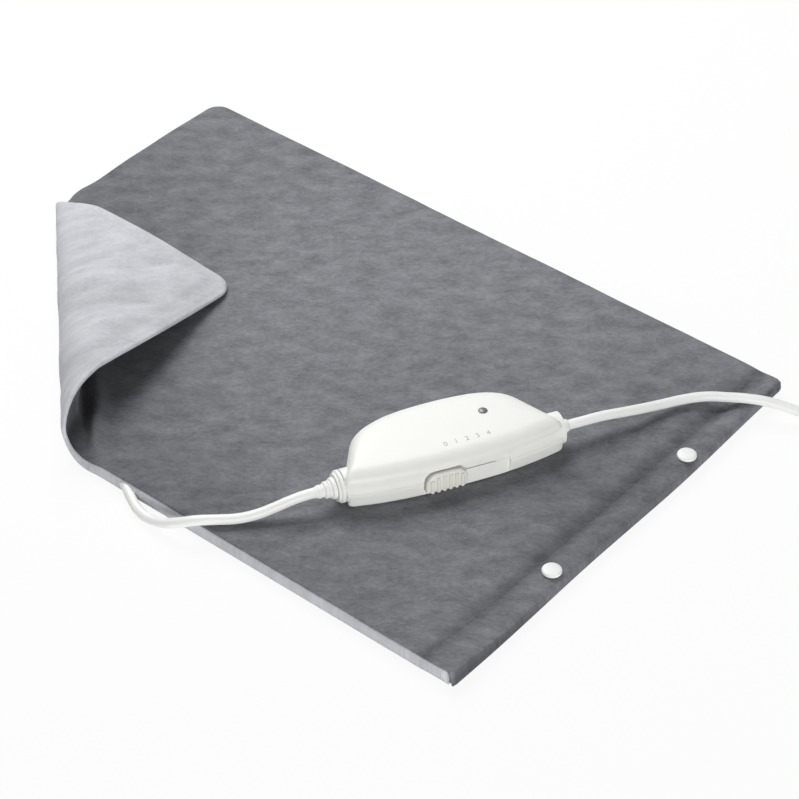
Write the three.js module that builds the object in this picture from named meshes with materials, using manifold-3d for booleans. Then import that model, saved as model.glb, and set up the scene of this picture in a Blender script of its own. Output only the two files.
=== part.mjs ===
// Electric heating pad with one corner turned over, its slide controller, mains lead and plug.
// Millimetres, +Z up. The origin is the middle of the pad's footprint on the table.
// +X runs along the pad to the hem with the press studs, +Y to the far long edge.
import * as THREE from "three";
import { mergeVertices } from "three/addons/utils/BufferGeometryUtils.js";
import Module from "manifold-3d";

const wasm = await Module();
wasm.setup();

// Clearances
const GAP = 0.3;
const CUT_OVERRUN = 1;
const WELD = 0.002;

// Pad
const PAD_LENGTH = 400;
const PAD_WIDTH = 274;
const PAD_THICKNESS = 9;
const PAD_CORNER_RADIUS = 9;
const PAD_EDGE_ROUND = 2.6;
const COVER_WALL = 1.4;
const COVER_SIDE = 2.6;
const COVER_SEAM_Z = 7.6;
const CARRIER_THICKNESS = 0.8;
const HEATING_WIRE_DIAMETER = 1.6;
const WIRE_SPACING = 22;
const WIRE_EDGE_MARGIN = 20;
const WIRE_FIRST_RUN = 32;
const WIRE_RETURN_GAP = 4;
const WIRE_RETURN_DROP = 5;
const WADDING_SIDE_GAP = 1.2;

// Hem with the press studs
const HEM_WIDTH = 17;
const HEM_CORNER_RADIUS = 3;
const HEM_LIFT = 1.3;
const HEM_EDGE = 0.6;
const HEM_LIP = 2;
const HEM_MOUTH = 2.5;
const STUD_INSET = 6;
const STUD_SPACING = 110;
const STUD_MIDDLE_Y = 2.8;
const STUD_CAP_RADIUS = 5;
const STUD_CAP_HEIGHT = 2;
const STUD_POST_RADIUS = 1.6;
const STUD_SOCKET_RADIUS = 4.5;

// Turned-over corner: a cone about a slanting line, then a flat flap
const FOLD_BACK_Y = 19;
const FOLD_FRONT_X = -28;
const FOLD_BACK_RADIUS = 9;
const FOLD_FRONT_RADIUS = 11;
const FOLD_SLICES = 10;
const FLAP_GAP = 0.6;

// Controller
const BODY_LENGTH = 117;
const BODY_DEPTH = 43;
const BODY_HEIGHT = 21.6;
const BODY_BASE_ROUND = 2;
const BODY_TOP_ROUND = 8.5;
const FRONT_BOW = 6;
const SHOULDER_LENGTH = 90;
const SHOULDER_DEPTH = 27;
const FRONT_CORNER = 5;
const SHOULDER_CURVE = 0.85;
const BACK_CURVE = 0.58;
const SHELL_WALL = 2;
const PARTING_HEIGHT = 10;
const CONTROLLER_X = 119.8;
const CONTROLLER_Y = -31.9;
const CONTROLLER_TURN = 62.25;
const SCREW_LENGTH = 13;
const SCREW_RADIUS = 1.45;
const SCREW_HEAD_RADIUS = 2.8;
const SCREW_HEAD_HEIGHT = 1.7;
const BOSS_RADIUS = 3.5;
const BOSS_FRONT_U = 34;
const BOSS_FRONT_V = 7;
const BOSS_BACK_V = 37;

// Slide knob
const KNOB_WIDTH = 22;
const KNOB_HEIGHT = 12.5;
const KNOB_BOTTOM = 2;
const KNOB_THICKNESS = 4.7;
const KNOB_CORNER = 6;
const KNOB_RIBS = 6;
const KNOB_RIB_RADIUS = 1.1;
const KNOB_RIB_FALL = 0.25;
const KNOB_REST_U = -8.9;
const KNOB_STEPS = 4;
const KNOB_STEP = 5.8;
const RECESS_FLOOR_V = -2.6;
const RECESS_WALL = 3.2;
const RECESS_MARGIN = 4;
const STEM_WIDTH = 8;
const STEM_HEIGHT = 1.6;
const SHUTTER_THICKNESS = 0.8;
const SHUTTER_OVERLAP = 1.5;
const CARRIAGE_LENGTH = 16;
const CARRIAGE_DEPTH = 8;
const CARRIAGE_HEIGHT = 5;

// Circuit board and what stands on it
const BOARD_THICKNESS = 1.6;
const BOARD_Z = 4;
const BOARD_HALF_LENGTH = 42;
const BOARD_BACK_V = 32.5;
const BOARD_CORNER_CUT = 11;
const BOARD_POST_U = 25.2;
const BOARD_POST_BACK_V = 27.5;
const BOARD_POST_RADIUS = 1.6;
const CONTACT_THICKNESS = 0.4;
const CONTACT_INSET = 1.5;
const CONTACT_SPINE = 2;
const WIPER_THICKNESS = 0.6;
const WIPER_SLIT = 1.2;
const LENS_U = 22.1;
const LENS_V = 21.4;
const LENS_RADIUS = 2.4;
const LENS_FLANGE = 1.2;
const LENS_CROWN = 0.3;
const LED_RADIUS = 1.5;
const LED_RIM = 0.4;
const LED_RIM_HEIGHT = 1;
const CAPACITOR_SIZE = [13, 6, 10];
const CAPACITOR_PLACE = [-22, 20];
const TRIAC_SIZE = [10, 4.4, 10];
const TRIAC_PLACE = [-2, 27];
const FUSE_LENGTH = 18;
const FUSE_RADIUS = 2.5;
const FUSE_PLACE = [24, 14.5];
const CUTOUT_SIZE = [16, 7, 2.6];
const CUTOUT_X = [0, 60];
const CUTOUT_ROWS = [1, 6];

// Cord, boots, coil and plug
const CORD_DIAMETER = 5.2;
const CORD_SIDES = 10;
const CORD_STEP = 12;
const PAD_CORD_EXIT_X = -6;
const PAD_CORD_HEADING = -27.3;
const PAD_CORD_INSIDE = 14.2;
const MOULDING_LENGTH = 18;
const MOULDING_FRONT_HALF = 3;
const MOULDING_BACK_HALF = 6;
const COLLAR_RADIUS = 8.3;
const COLLAR_V = 8;
const COLLAR_LIP = 4.5;
const COLLAR_INSIDE = 8;
const BOOT_NECK_RADIUS = 4;
const BOOT_FLANGE_RADIUS = 6.5;
const BOOT_FLANGE = 3;
const BOOT_TIP_WALL = 0.8;
const BOOT_GROOVE = 1;
const PAD_BOOT_LENGTH = 14;
const PAD_BOOT_RIBS = 4;
const MAINS_BOOT_LENGTH = 4;
const COIL_X = 247;
const COIL_Y = 174;
const COIL_INNER_RADIUS = 21.5;
const COIL_PITCH = 5.8;
const COIL_LAYERS = 4;
const COIL_TURNS = 9.25;
const COIL_START_ANGLE = -73;
const LOOP_STEPS = 24;
const LOOP_SIDES = 6;
const TIE_THICKNESS = 0.9;
const TIE_WIDTH = 4;
const TIE_ANGLE = 235;
const PLUG_LENGTH = 36;
const PLUG_WIDTH = 35;
const PLUG_THICKNESS = 13.7;
const PLUG_NECK_WIDTH = 15;
const PLUG_BEVEL = 2;
const PLUG_RELIEF_LENGTH = 20;
const PLUG_RELIEF_RADIUS = 6;
const PLUG_RELIEF_RIBS = 4;
const PLUG_RELIEF_GROOVE = 0.7;
const PIN_SPACING = 18.6;
const PIN_RADIUS = 2;
const PIN_LENGTH = 19;
const PIN_ROOT = 6;

// Solids, joins and cuts

function solidOf(geometry) {
  const bare = geometry.clone();
  bare.deleteAttribute("normal");
  bare.deleteAttribute("uv");
  const merged = mergeVertices(bare, 1e-4);
  const vertProperties = new Float32Array(merged.attributes.position.array);
  const triVerts = new Uint32Array(merged.index.array);
  if (signedVolume(vertProperties, triVerts) < 0) {
    triVerts.reverse();
  }
  return new wasm.Manifold(new wasm.Mesh({ numProp: 3, vertProperties, triVerts }));
}

function signedVolume(positions, index) {
  const corner = (i) => new THREE.Vector3().fromArray(positions, 3 * index[i]);
  let total = 0;
  for (let i = 0; i < index.length; i += 3) {
    total += corner(i).dot(corner(i + 1).cross(corner(i + 2)));
  }
  return total / 6;
}

function geometryOf(solid) {
  const { vertProperties, triVerts } = solid.getMesh();
  const geometry = new THREE.BufferGeometry();
  geometry.setAttribute("position", new THREE.BufferAttribute(vertProperties, 3));
  geometry.setIndex(new THREE.BufferAttribute(triVerts, 1));
  return geometry;
}

function join(...solids) {
  return solids.reduce((whole, piece) => whole.add(piece));
}

function cut(whole, ...pieces) {
  return pieces.reduce((rest, piece) => rest.subtract(piece), whole);
}

function block(x0, x1, y0, y1, z0, z1) {
  const box = new THREE.BoxGeometry(x1 - x0, y1 - y0, z1 - z0);
  return solidOf(box.translate((x0 + x1) / 2, (y0 + y1) / 2, (z0 + z1) / 2));
}

function cylinder(x, y, z0, z1, radius, sides = 20) {
  const round = new THREE.CylinderGeometry(radius, radius, z1 - z0, sides);
  return solidOf(round.rotateX(Math.PI / 2).translate(x, y, (z0 + z1) / 2));
}

// A turned piece: [radius, height] pairs from the axis round to the axis again.
function turned(profile, sides = 24) {
  const points = profile.map(([radius, height]) => new THREE.Vector2(radius, height));
  return new THREE.LatheGeometry(points, sides);
}

function turnedUpright(profile, x, y, sides) {
  return solidOf(turned(profile, sides).rotateX(Math.PI / 2).translate(x, y, 0));
}

function extruded(shape, z0, z1, divisions = 6) {
  const options = { depth: z1 - z0, bevelEnabled: false, curveSegments: divisions };
  return solidOf(new THREE.ExtrudeGeometry(shape, options).translate(0, 0, z0));
}

function polygon(points) {
  return new THREE.Shape(points.map(([x, y]) => new THREE.Vector2(x, y)));
}

// A rectangle with its own corner radius at the low-x and the high-x end.
function roundedRectangle(x0, x1, y0, y1, lowRadius, highRadius = lowRadius) {
  const shape = new THREE.Shape();
  shape.moveTo(x0 + lowRadius, y0);
  shape.absarc(x1 - highRadius, y0 + highRadius, highRadius, -Math.PI / 2, 0);
  shape.absarc(x1 - highRadius, y1 - highRadius, highRadius, 0, Math.PI / 2);
  shape.absarc(x0 + lowRadius, y1 - lowRadius, lowRadius, Math.PI / 2, Math.PI);
  shape.absarc(x0 + lowRadius, y0 + lowRadius, lowRadius, Math.PI, 1.5 * Math.PI);
  return shape;
}

// [height, inset] levels of a quarter round that starts on a flat face and ends on the wall.
function roundedEdge(face, rise, steps = 2, wallInset = 0) {
  const levels = [];
  for (let step = 0; step <= steps; step += 1) {
    const angle = (step / steps) * (Math.PI / 2);
    const inset = wallInset + Math.abs(rise) * (1 - Math.sin(angle));
    levels.push([face + rise * (1 - Math.cos(angle)), inset]);
  }
  return levels;
}

// Rings of one outline at [height, inset] levels, closed at both ends.
function lofted(shape, levels, divisions = 5) {
  const outline = shape.getPoints(divisions).filter((point, i, all) => {
    return point.distanceTo(all[(i + 1) % all.length]) > 1e-4;
  });
  if (THREE.ShapeUtils.isClockWise(outline)) {
    outline.reverse();
  }
  const bounds = new THREE.Box2().setFromPoints(outline);
  const middle = bounds.getCenter(new THREE.Vector2());
  const half = bounds.getSize(new THREE.Vector2()).multiplyScalar(0.5);
  const positions = [];
  const index = [];
  for (const [height, inset] of levels) {
    for (const point of outline) {
      const x = middle.x + (point.x - middle.x) * (1 - inset / half.x);
      const y = middle.y + (point.y - middle.y) * (1 - inset / half.y);
      positions.push(x, y, height);
    }
  }
  const count = outline.length;
  for (let ring = 0; ring < levels.length - 1; ring += 1) {
    addRingWalls(index, ring * count, (ring + 1) * count, count);
  }
  const top = (levels.length - 1) * count;
  for (const [a, b, c] of THREE.ShapeUtils.triangulateShape(outline, [])) {
    index.push(a, c, b);
    index.push(top + a, top + b, top + c);
  }
  return solidOf(indexedGeometry(positions, index));
}

function indexedGeometry(positions, index) {
  const geometry = new THREE.BufferGeometry();
  geometry.setAttribute("position", new THREE.Float32BufferAttribute(positions, 3));
  geometry.setIndex(index);
  return geometry;
}

function addRingWalls(index, low, high, count) {
  for (let i = 0; i < count; i += 1) {
    const next = (i + 1) % count;
    index.push(low + i, low + next, high + next);
    index.push(low + i, high + next, high + i);
  }
}

// A round tube through given points, with a frame that doesn't twist.
function tubeThrough(points, radius, sides) {
  const positions = [];
  const index = [];
  const tangents = points.map((point, i) => {
    const before = points[Math.max(i - 1, 0)];
    const after = points[Math.min(i + 1, points.length - 1)];
    return after.clone().sub(before).normalize();
  });
  let normal = new THREE.Vector3(0, 0, 1);
  points.forEach((point, i) => {
    normal = normal.clone().addScaledVector(tangents[i], -normal.dot(tangents[i])).normalize();
    const side = tangents[i].clone().cross(normal);
    for (let k = 0; k < sides; k += 1) {
      const angle = (2 * Math.PI * (k + 0.5)) / sides;
      const place = point.clone();
      place.addScaledVector(normal, radius * Math.cos(angle));
      place.addScaledVector(side, radius * Math.sin(angle));
      positions.push(place.x, place.y, place.z);
    }
    if (i > 0) {
      addRingWalls(index, (i - 1) * sides, i * sides, sides);
    }
  });
  const last = (points.length - 1) * sides;
  for (let k = 1; k < sides - 1; k += 1) {
    index.push(0, k + 1, k);
    index.push(last, last + k, last + k + 1);
  }
  return solidOf(indexedGeometry(positions, index));
}

// A free stretch of cord along a smooth curve through its route.
function cordAlong(route) {
  const curve = new THREE.CatmullRomCurve3(route.map((place) => new THREE.Vector3(...place)));
  const section = new THREE.Shape();
  for (let k = 0; k < CORD_SIDES; k += 1) {
    const angle = (2 * Math.PI * k) / CORD_SIDES;
    const x = (CORD_DIAMETER / 2) * Math.cos(angle);
    const y = (CORD_DIAMETER / 2) * Math.sin(angle);
    if (k === 0) {
      section.moveTo(x, y);
    } else {
      section.lineTo(x, y);
    }
  }
  const steps = Math.ceil(curve.getLength() / CORD_STEP);
  return solidOf(new THREE.ExtrudeGeometry(section, { steps, bevelEnabled: false, extrudePath: curve }));
}

const assembly = new THREE.Group();

function addMesh(group, name, solid, colour, roughness, metalness = 0) {
  const material = new THREE.MeshStandardMaterial({ color: colour, roughness, metalness });
  const mesh = new THREE.Mesh(solid.isBufferGeometry ? solid : geometryOf(solid), material);
  mesh.name = name;
  group.add(mesh);
}

// Turned-over corner

const halfLength = PAD_LENGTH / 2;
const halfWidth = PAD_WIDTH / 2;
const midHeight = PAD_THICKNESS / 2;
const foldBack = new THREE.Vector3(-halfLength, FOLD_BACK_Y, midHeight);
const foldFront = new THREE.Vector3(FOLD_FRONT_X, -halfWidth, midHeight);
const foldLength = foldBack.distanceTo(foldFront);
const along = foldFront.clone().sub(foldBack).normalize();
const outward = new THREE.Vector3(along.y, -along.x, 0);
const upward = new THREE.Vector3(0, 0, 1);
const coneSine = (FOLD_FRONT_RADIUS - FOLD_BACK_RADIUS) / foldLength;
const coneCosine = Math.sqrt(1 - coneSine * coneSine);
const apex = foldBack.clone().addScaledVector(along, -FOLD_BACK_RADIUS / coneSine);
const coneAxis = along.clone().multiplyScalar(coneCosine).addScaledVector(upward, coneSine);
const coneUp = upward.clone().multiplyScalar(coneCosine).addScaledVector(along, -coneSine);

// Where a point of the flat pad goes when the corner is turned by the given angle.
function turnedOver(flat, turn) {
  const offset = flat.clone().sub(apex);
  const lift = offset.z;
  const distance = Math.hypot(offset.dot(along), offset.dot(outward));
  const bearing = Math.atan2(offset.dot(outward), offset.dot(along));
  if (bearing <= 0) {
    return flat.clone();
  }
  const wrap = Math.min(bearing / coneSine, turn);
  const beyond = Math.max(bearing - turn * coneSine, 0);
  const spoke = coneUp.clone().multiplyScalar(-Math.cos(wrap)).addScaledVector(outward, Math.sin(wrap));
  const heading = coneUp.clone().multiplyScalar(Math.sin(wrap)).addScaledVector(outward, Math.cos(wrap));
  const ray = coneAxis.clone().multiplyScalar(coneCosine).addScaledVector(spoke, coneSine);
  const normal = coneAxis.clone().multiplyScalar(coneSine).addScaledVector(spoke, -coneCosine);
  return apex
    .clone()
    .addScaledVector(ray, distance * Math.cos(beyond))
    .addScaledVector(heading, distance * Math.sin(beyond))
    .addScaledVector(normal, lift);
}

// The turn at which the flap's tip comes to lie on the pad.
function findFoldTurn() {
  const reach = PAD_CORNER_RADIUS * (1 - Math.SQRT1_2);
  const tip = new THREE.Vector3(-halfLength + reach, -halfWidth + reach, PAD_THICKNESS);
  let low = Math.PI;
  let high = 1.25 * Math.PI;
  for (let i = 0; i < 40; i += 1) {
    const middle = (low + high) / 2;
    if (turnedOver(tip, middle).z > PAD_THICKNESS + FLAP_GAP) {
      low = middle;
    } else {
      high = middle;
    }
  }
  return low;
}

const foldTurn = findFoldTurn();

// An upright plane through the cone's apex, at one bearing from the fold line.
function foldPlane(bearing) {
  const normal = outward.clone().multiplyScalar(Math.cos(bearing)).addScaledVector(along, -Math.sin(bearing));
  return { normal, offset: normal.dot(apex) };
}

const foldPlanes = [];
for (let slice = 0; slice <= FOLD_SLICES; slice += 1) {
  foldPlanes.push(foldPlane((foldTurn * coneSine * slice) / FOLD_SLICES));
}

function beyondPlane(solid, plane) {
  return solid.trimByPlane(plane.normal.toArray(), plane.offset);
}

function beforePlane(solid, plane) {
  return solid.trimByPlane(plane.normal.clone().negate().toArray(), -plane.offset);
}

// The flat pad's strips between the fold planes, the resting part first and the flap last.
function foldStrips(solid) {
  const strips = [beforePlane(solid, foldPlanes[0])];
  for (let slice = 0; slice < FOLD_SLICES; slice += 1) {
    strips.push(beforePlane(beyondPlane(solid, foldPlanes[slice]), foldPlanes[slice + 1]));
  }
  strips.push(beyondPlane(solid, foldPlanes[FOLD_SLICES]));
  return strips;
}

// Bends a flat solid: its strips without their cut faces, welded edge to edge on the cone.
function foldCorner(solid) {
  const vertices = [];
  const index = [];
  const onPlane = (vertex, plane) => Math.abs(vertex.dot(plane.normal) - plane.offset) < WELD;
  const weld = (vertex) => {
    const known = vertices.findIndex((other) => other.distanceTo(vertex) < WELD);
    return known >= 0 ? known : vertices.push(vertex) - 1;
  };
  for (const strip of foldStrips(solid)) {
    const { vertProperties, triVerts } = strip.getMesh();
    for (let i = 0; i < triVerts.length; i += 3) {
      const corners = [0, 1, 2].map((k) => {
        return new THREE.Vector3().fromArray(vertProperties, 3 * triVerts[i + k]);
      });
      const cutFace = foldPlanes.some((plane) => corners.every((corner) => onPlane(corner, plane)));
      if (!cutFace) {
        index.push(...corners.map(weld));
      }
    }
  }
  const positions = vertices.flatMap((vertex) => turnedOver(vertex, foldTurn).toArray());
  return indexedGeometry(positions, index);
}

// Pad covers: a dark upper and a light lower panel round one cavity, open at the hem

const pillowRight = halfLength - HEM_WIDTH + 2;
const cavityRight = halfLength - HEM_WIDTH;
const hemTop = HEM_LIFT + 2 * HEM_LIP + HEM_MOUTH;
const lowerLipTop = HEM_LIFT + HEM_LIP;
const upperLipBottom = hemTop - HEM_LIP;
const seamX = cavityRight - COVER_SIDE;

function padOuter() {
  const pillow = lofted(
    roundedRectangle(-halfLength, pillowRight, -halfWidth, halfWidth, PAD_CORNER_RADIUS, HEM_CORNER_RADIUS),
    [...roundedEdge(0, PAD_EDGE_ROUND), ...roundedEdge(PAD_THICKNESS, -PAD_EDGE_ROUND).reverse()],
  );
  const hem = lofted(
    roundedRectangle(seamX - HEM_WIDTH, halfLength, -halfWidth, halfWidth, HEM_CORNER_RADIUS),
    [
      [HEM_LIFT, HEM_EDGE],
      [HEM_LIFT + HEM_EDGE, 0],
      [hemTop - HEM_EDGE, 0],
      [hemTop, HEM_EDGE],
    ],
  );
  return join(pillow, hem);
}

function padCavity() {
  const shape = roundedRectangle(
    -halfLength + COVER_SIDE,
    cavityRight,
    -halfWidth + COVER_SIDE,
    halfWidth - COVER_SIDE,
    PAD_CORNER_RADIUS - COVER_SIDE,
    HEM_CORNER_RADIUS,
  );
  return extruded(shape, COVER_WALL, PAD_THICKNESS - COVER_WALL);
}

function upperRegion(seamZ, hemX, hemZ) {
  const high = PAD_THICKNESS + CUT_OVERRUN;
  return join(
    block(-PAD_LENGTH, PAD_LENGTH, -PAD_WIDTH, PAD_WIDTH, seamZ, high),
    block(hemX, PAD_LENGTH, -PAD_WIDTH, PAD_WIDTH, hemZ, high),
  );
}

// Pad cord route, from the moulding inside the pad to the controller, and its slit in the cover
const padCordExit = new THREE.Vector3(PAD_CORD_EXIT_X, -halfWidth - GAP, midHeight);
const exitTurn = THREE.MathUtils.degToRad(PAD_CORD_HEADING);
const padCordHeading = new THREE.Vector3(Math.cos(exitTurn), Math.sin(exitTurn), 0);
const padCordStart = padCordExit.clone().addScaledVector(padCordHeading, -PAD_CORD_INSIDE);
const padCordRoute = [
  padCordStart.toArray(),
  padCordStart.clone().lerp(padCordExit, 0.5).toArray(),
  padCordExit.toArray(),
  [1, -141, 3.9],
  [9, -144.3, 3.1],
  [18, -145.6, 3.5],
  [27, -145.2, 5.8],
  [35.5, -142.6, 9.4],
  [43, -138, 11.9],
  [50.5, -131.5, 12.2],
  [57.5, -124.5, 12.2],
  [63.5, -117, 13.4],
  [68.5, -110, 15.8],
  [72.8, -103, 18],
];
const slitCutter = tubeThrough(
  [
    padCordStart.clone().addScaledVector(padCordHeading, -2 * CUT_OVERRUN),
    padCordExit.clone().addScaledVector(padCordHeading, 2 * CORD_DIAMETER),
  ],
  CORD_DIAMETER / 2 + 2 * GAP,
  CORD_SIDES,
);

const studPlaces = [1, -1].map((side) => [
  halfLength - STUD_INSET,
  STUD_MIDDLE_Y + (side * STUD_SPACING) / 2,
]);
const studHoles = studPlaces.map(([x, y]) => {
  return cylinder(x, y, -CUT_OVERRUN, PAD_THICKNESS, STUD_POST_RADIUS + GAP);
});

const coverShell = cut(padOuter(), padCavity(), slitCutter, ...studHoles);
const coverTop = coverShell.intersect(upperRegion(COVER_SEAM_Z + GAP, seamX, upperLipBottom));
const coverBottom = cut(coverShell, upperRegion(COVER_SEAM_Z, seamX - GAP, lowerLipTop));
addMesh(assembly, "cover_top", foldCorner(coverTop), 0x7d8085, 0.95);
addMesh(assembly, "cover_bottom", foldCorner(coverBottom), 0xcfd0d6, 0.95);

// Press studs: cap and socket on the upper lip, post on the lower lip

studPlaces.forEach(([x, y], i) => {
  const socketTop = upperLipBottom - GAP;
  const socketBottom = lowerLipTop + GAP;
  const capBase = hemTop + GAP;
  const cap = [
    [0, socketTop + GAP],
    [STUD_POST_RADIUS, socketTop + GAP],
    [STUD_POST_RADIUS, capBase],
    [STUD_CAP_RADIUS, capBase],
    [STUD_CAP_RADIUS, capBase + STUD_CAP_HEIGHT * 0.4],
    [STUD_CAP_RADIUS * 0.86, capBase + STUD_CAP_HEIGHT * 0.8],
    [STUD_CAP_RADIUS * 0.5, capBase + STUD_CAP_HEIGHT],
    [0, capBase + STUD_CAP_HEIGHT],
  ];
  const bore = STUD_POST_RADIUS + 2 * GAP;
  const socket = [
    [bore, socketBottom],
    [STUD_SOCKET_RADIUS, socketBottom],
    [STUD_SOCKET_RADIUS, socketTop],
    [bore, socketTop],
    [bore, socketBottom],
  ];
  const post = [
    [0, 0],
    [STUD_SOCKET_RADIUS, 0],
    [STUD_SOCKET_RADIUS, HEM_LIFT - GAP],
    [STUD_POST_RADIUS, HEM_LIFT - GAP],
    [STUD_POST_RADIUS, socketBottom],
    [STUD_POST_RADIUS + GAP, (socketBottom + socketTop) / 2],
    [STUD_POST_RADIUS, socketTop],
    [0, socketTop],
  ];
  addMesh(assembly, `stud_cap_${i + 1}`, turnedUpright(cap, x, y), 0xf6f6f4, 0.35);
  addMesh(assembly, `stud_socket_${i + 1}`, turnedUpright(socket, x, y), 0xf6f6f4, 0.4);
  addMesh(assembly, `stud_post_${i + 1}`, turnedUpright(post, x, y), 0xf6f6f4, 0.4);
});

// Inside the pad: carrier sheet, heating wire, wadding, thermal cut-outs and cord moulding

const carrierZ = COVER_WALL + GAP;
const wireZ = carrierZ + CARRIER_THICKNESS + GAP + HEATING_WIRE_DIAMETER / 2;
const waddingZ = wireZ + HEATING_WIRE_DIAMETER / 2 + GAP;
const waddingTop = PAD_THICKNESS - COVER_WALL - GAP;
const layerInset = COVER_SIDE + WADDING_SIDE_GAP;

function padLayer(z0, z1) {
  const shape = roundedRectangle(
    -halfLength + layerInset,
    cavityRight - WADDING_SIDE_GAP,
    -halfWidth + layerInset,
    halfWidth - layerInset,
    PAD_CORNER_RADIUS - COVER_SIDE,
    HEM_CORNER_RADIUS,
  );
  return extruded(shape, z0, z1);
}

const mouldingTurn = Math.atan2(-padCordHeading.y, -padCordHeading.x);

// A tapering block behind the cord's inner end, grown by a margin for the space it needs.
function cordMoulding(margin, z0, z1) {
  const front = GAP - (margin > 0 ? 2 * CORD_DIAMETER : 0);
  const back = GAP + MOULDING_LENGTH + margin;
  const shape = polygon([
    [front, -MOULDING_FRONT_HALF - margin],
    [back, -MOULDING_BACK_HALF - margin],
    [back, MOULDING_BACK_HALF + margin],
    [front, MOULDING_FRONT_HALF + margin],
  ]);
  const turnedBlock = extruded(shape, z0, z1).rotate([0, 0, THREE.MathUtils.radToDeg(mouldingTurn)]);
  return turnedBlock.translate([padCordStart.x, padCordStart.y, 0]);
}

const mouldingRoom = cordMoulding(2 * GAP, 0, PAD_THICKNESS);
const wireFirstY = -halfWidth + WIRE_FIRST_RUN;
const cutoutY = CUTOUT_ROWS.map((row) => wireFirstY + WIRE_SPACING * (row + 0.5));
const cutoutBottom = carrierZ + CARRIER_THICKNESS + GAP;
const cutoutRooms = CUTOUT_X.map((x, i) => {
  const [length, depth, height] = CUTOUT_SIZE;
  const y = cutoutY[i];
  const halfRoom = length / 2 + GAP;
  return block(
    x - halfRoom,
    x + halfRoom,
    y - depth / 2 - GAP,
    y + depth / 2 + GAP,
    cutoutBottom,
    cutoutBottom + height + GAP,
  );
});
const carrier = cut(padLayer(carrierZ, carrierZ + CARRIER_THICKNESS), mouldingRoom);
const wadding = cut(padLayer(waddingZ, waddingTop), mouldingRoom, ...cutoutRooms);
addMesh(assembly, "carrier_sheet", foldCorner(carrier), 0xe9e6dc, 0.9);
addMesh(assembly, "wadding", foldCorner(wadding), 0xf2f0ea, 0.95);
addMesh(assembly, "cord_moulding", cordMoulding(0, carrierZ, waddingTop), 0xe6e6e2, 0.5);

CUTOUT_X.forEach((x, i) => {
  const [length, depth, height] = CUTOUT_SIZE;
  const shape = roundedRectangle(-length / 2, length / 2, -depth / 2, depth / 2, depth / 3);
  const body = extruded(shape, cutoutBottom, cutoutBottom + height, 3).translate([x, cutoutY[i], 0]);
  addMesh(assembly, `thermal_cutout_${i + 1}`, body, 0x3a3d42, 0.5);
});

// One wire from the moulding, to and fro over the pad, and back along the hem side.
function heatingWirePath() {
  const turnRadius = WIRE_SPACING / 2;
  const leftX = -halfLength + WIRE_EDGE_MARGIN;
  const rightX = cavityRight - WIRE_EDGE_MARGIN;
  const returnX = rightX + turnRadius + WIRE_RETURN_GAP;
  const returnY = wireFirstY - WIRE_RETURN_DROP;
  const rows = 2 * Math.floor((PAD_WIDTH - 2 * WIRE_EDGE_MARGIN) / WIRE_SPACING / 2);
  const leadOut = padCordHeading.clone().multiplyScalar(-2 * HEATING_WIRE_DIAMETER);
  const backEnd = padCordStart.clone().addScaledVector(padCordHeading, -2 * GAP - MOULDING_LENGTH);
  const sideways = new THREE.Vector3(-padCordHeading.y, padCordHeading.x, 0);
  const inner = backEnd.clone().addScaledVector(sideways, -MOULDING_BACK_HALF / 2);
  const outer = backEnd.clone().addScaledVector(sideways, MOULDING_BACK_HALF / 2);
  const path = [];
  const addPoint = (x, y) => path.push(new THREE.Vector3(x, y, wireZ));
  const addArc = (x, y, from, to) => {
    for (let step = 0; step <= 4; step += 1) {
      const angle = from + ((to - from) * step) / 4;
      addPoint(x + turnRadius * Math.cos(angle), y + turnRadius * Math.sin(angle));
    }
  };
  addPoint(inner.x, inner.y);
  addPoint(inner.x + leadOut.x, inner.y + leadOut.y);
  addPoint(inner.x - 2 * turnRadius, wireFirstY);
  for (let row = 0; row < rows; row += 1) {
    const y = wireFirstY + (row + 0.5) * WIRE_SPACING;
    if (row % 2 === 0) {
      addArc(leftX + turnRadius, y, 1.5 * Math.PI, 0.5 * Math.PI);
    } else if (row < rows - 1) {
      addArc(rightX, y, -0.5 * Math.PI, 0.5 * Math.PI);
    }
  }
  const lastY = wireFirstY + (rows - 1) * WIRE_SPACING;
  addArc(returnX - turnRadius, lastY - turnRadius, 0.5 * Math.PI, 0);
  addArc(returnX - turnRadius, returnY + turnRadius, 0, -0.5 * Math.PI);
  addPoint(outer.x + turnRadius, returnY);
  addPoint(outer.x + leadOut.x, outer.y + leadOut.y);
  addPoint(outer.x, outer.y);
  return path;
}

const heatingWire = tubeThrough(heatingWirePath(), HEATING_WIRE_DIAMETER / 2, 6);
addMesh(assembly, "heating_wire", foldCorner(heatingWire), 0xb9695a, 0.6);

// Controller, in its own frame: u along its length, v from front to back, z up from its base

const controller = new THREE.Group();
controller.position.set(CONTROLLER_X, CONTROLLER_Y, PAD_THICKNESS + GAP);
controller.rotation.z = THREE.MathUtils.degToRad(CONTROLLER_TURN);
assembly.add(controller);

const bodyHalf = BODY_LENGTH / 2;
const shoulderHalf = SHOULDER_LENGTH / 2;
const endSlant = new THREE.Vector2(shoulderHalf - bodyHalf, SHOULDER_DEPTH).normalize();

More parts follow.
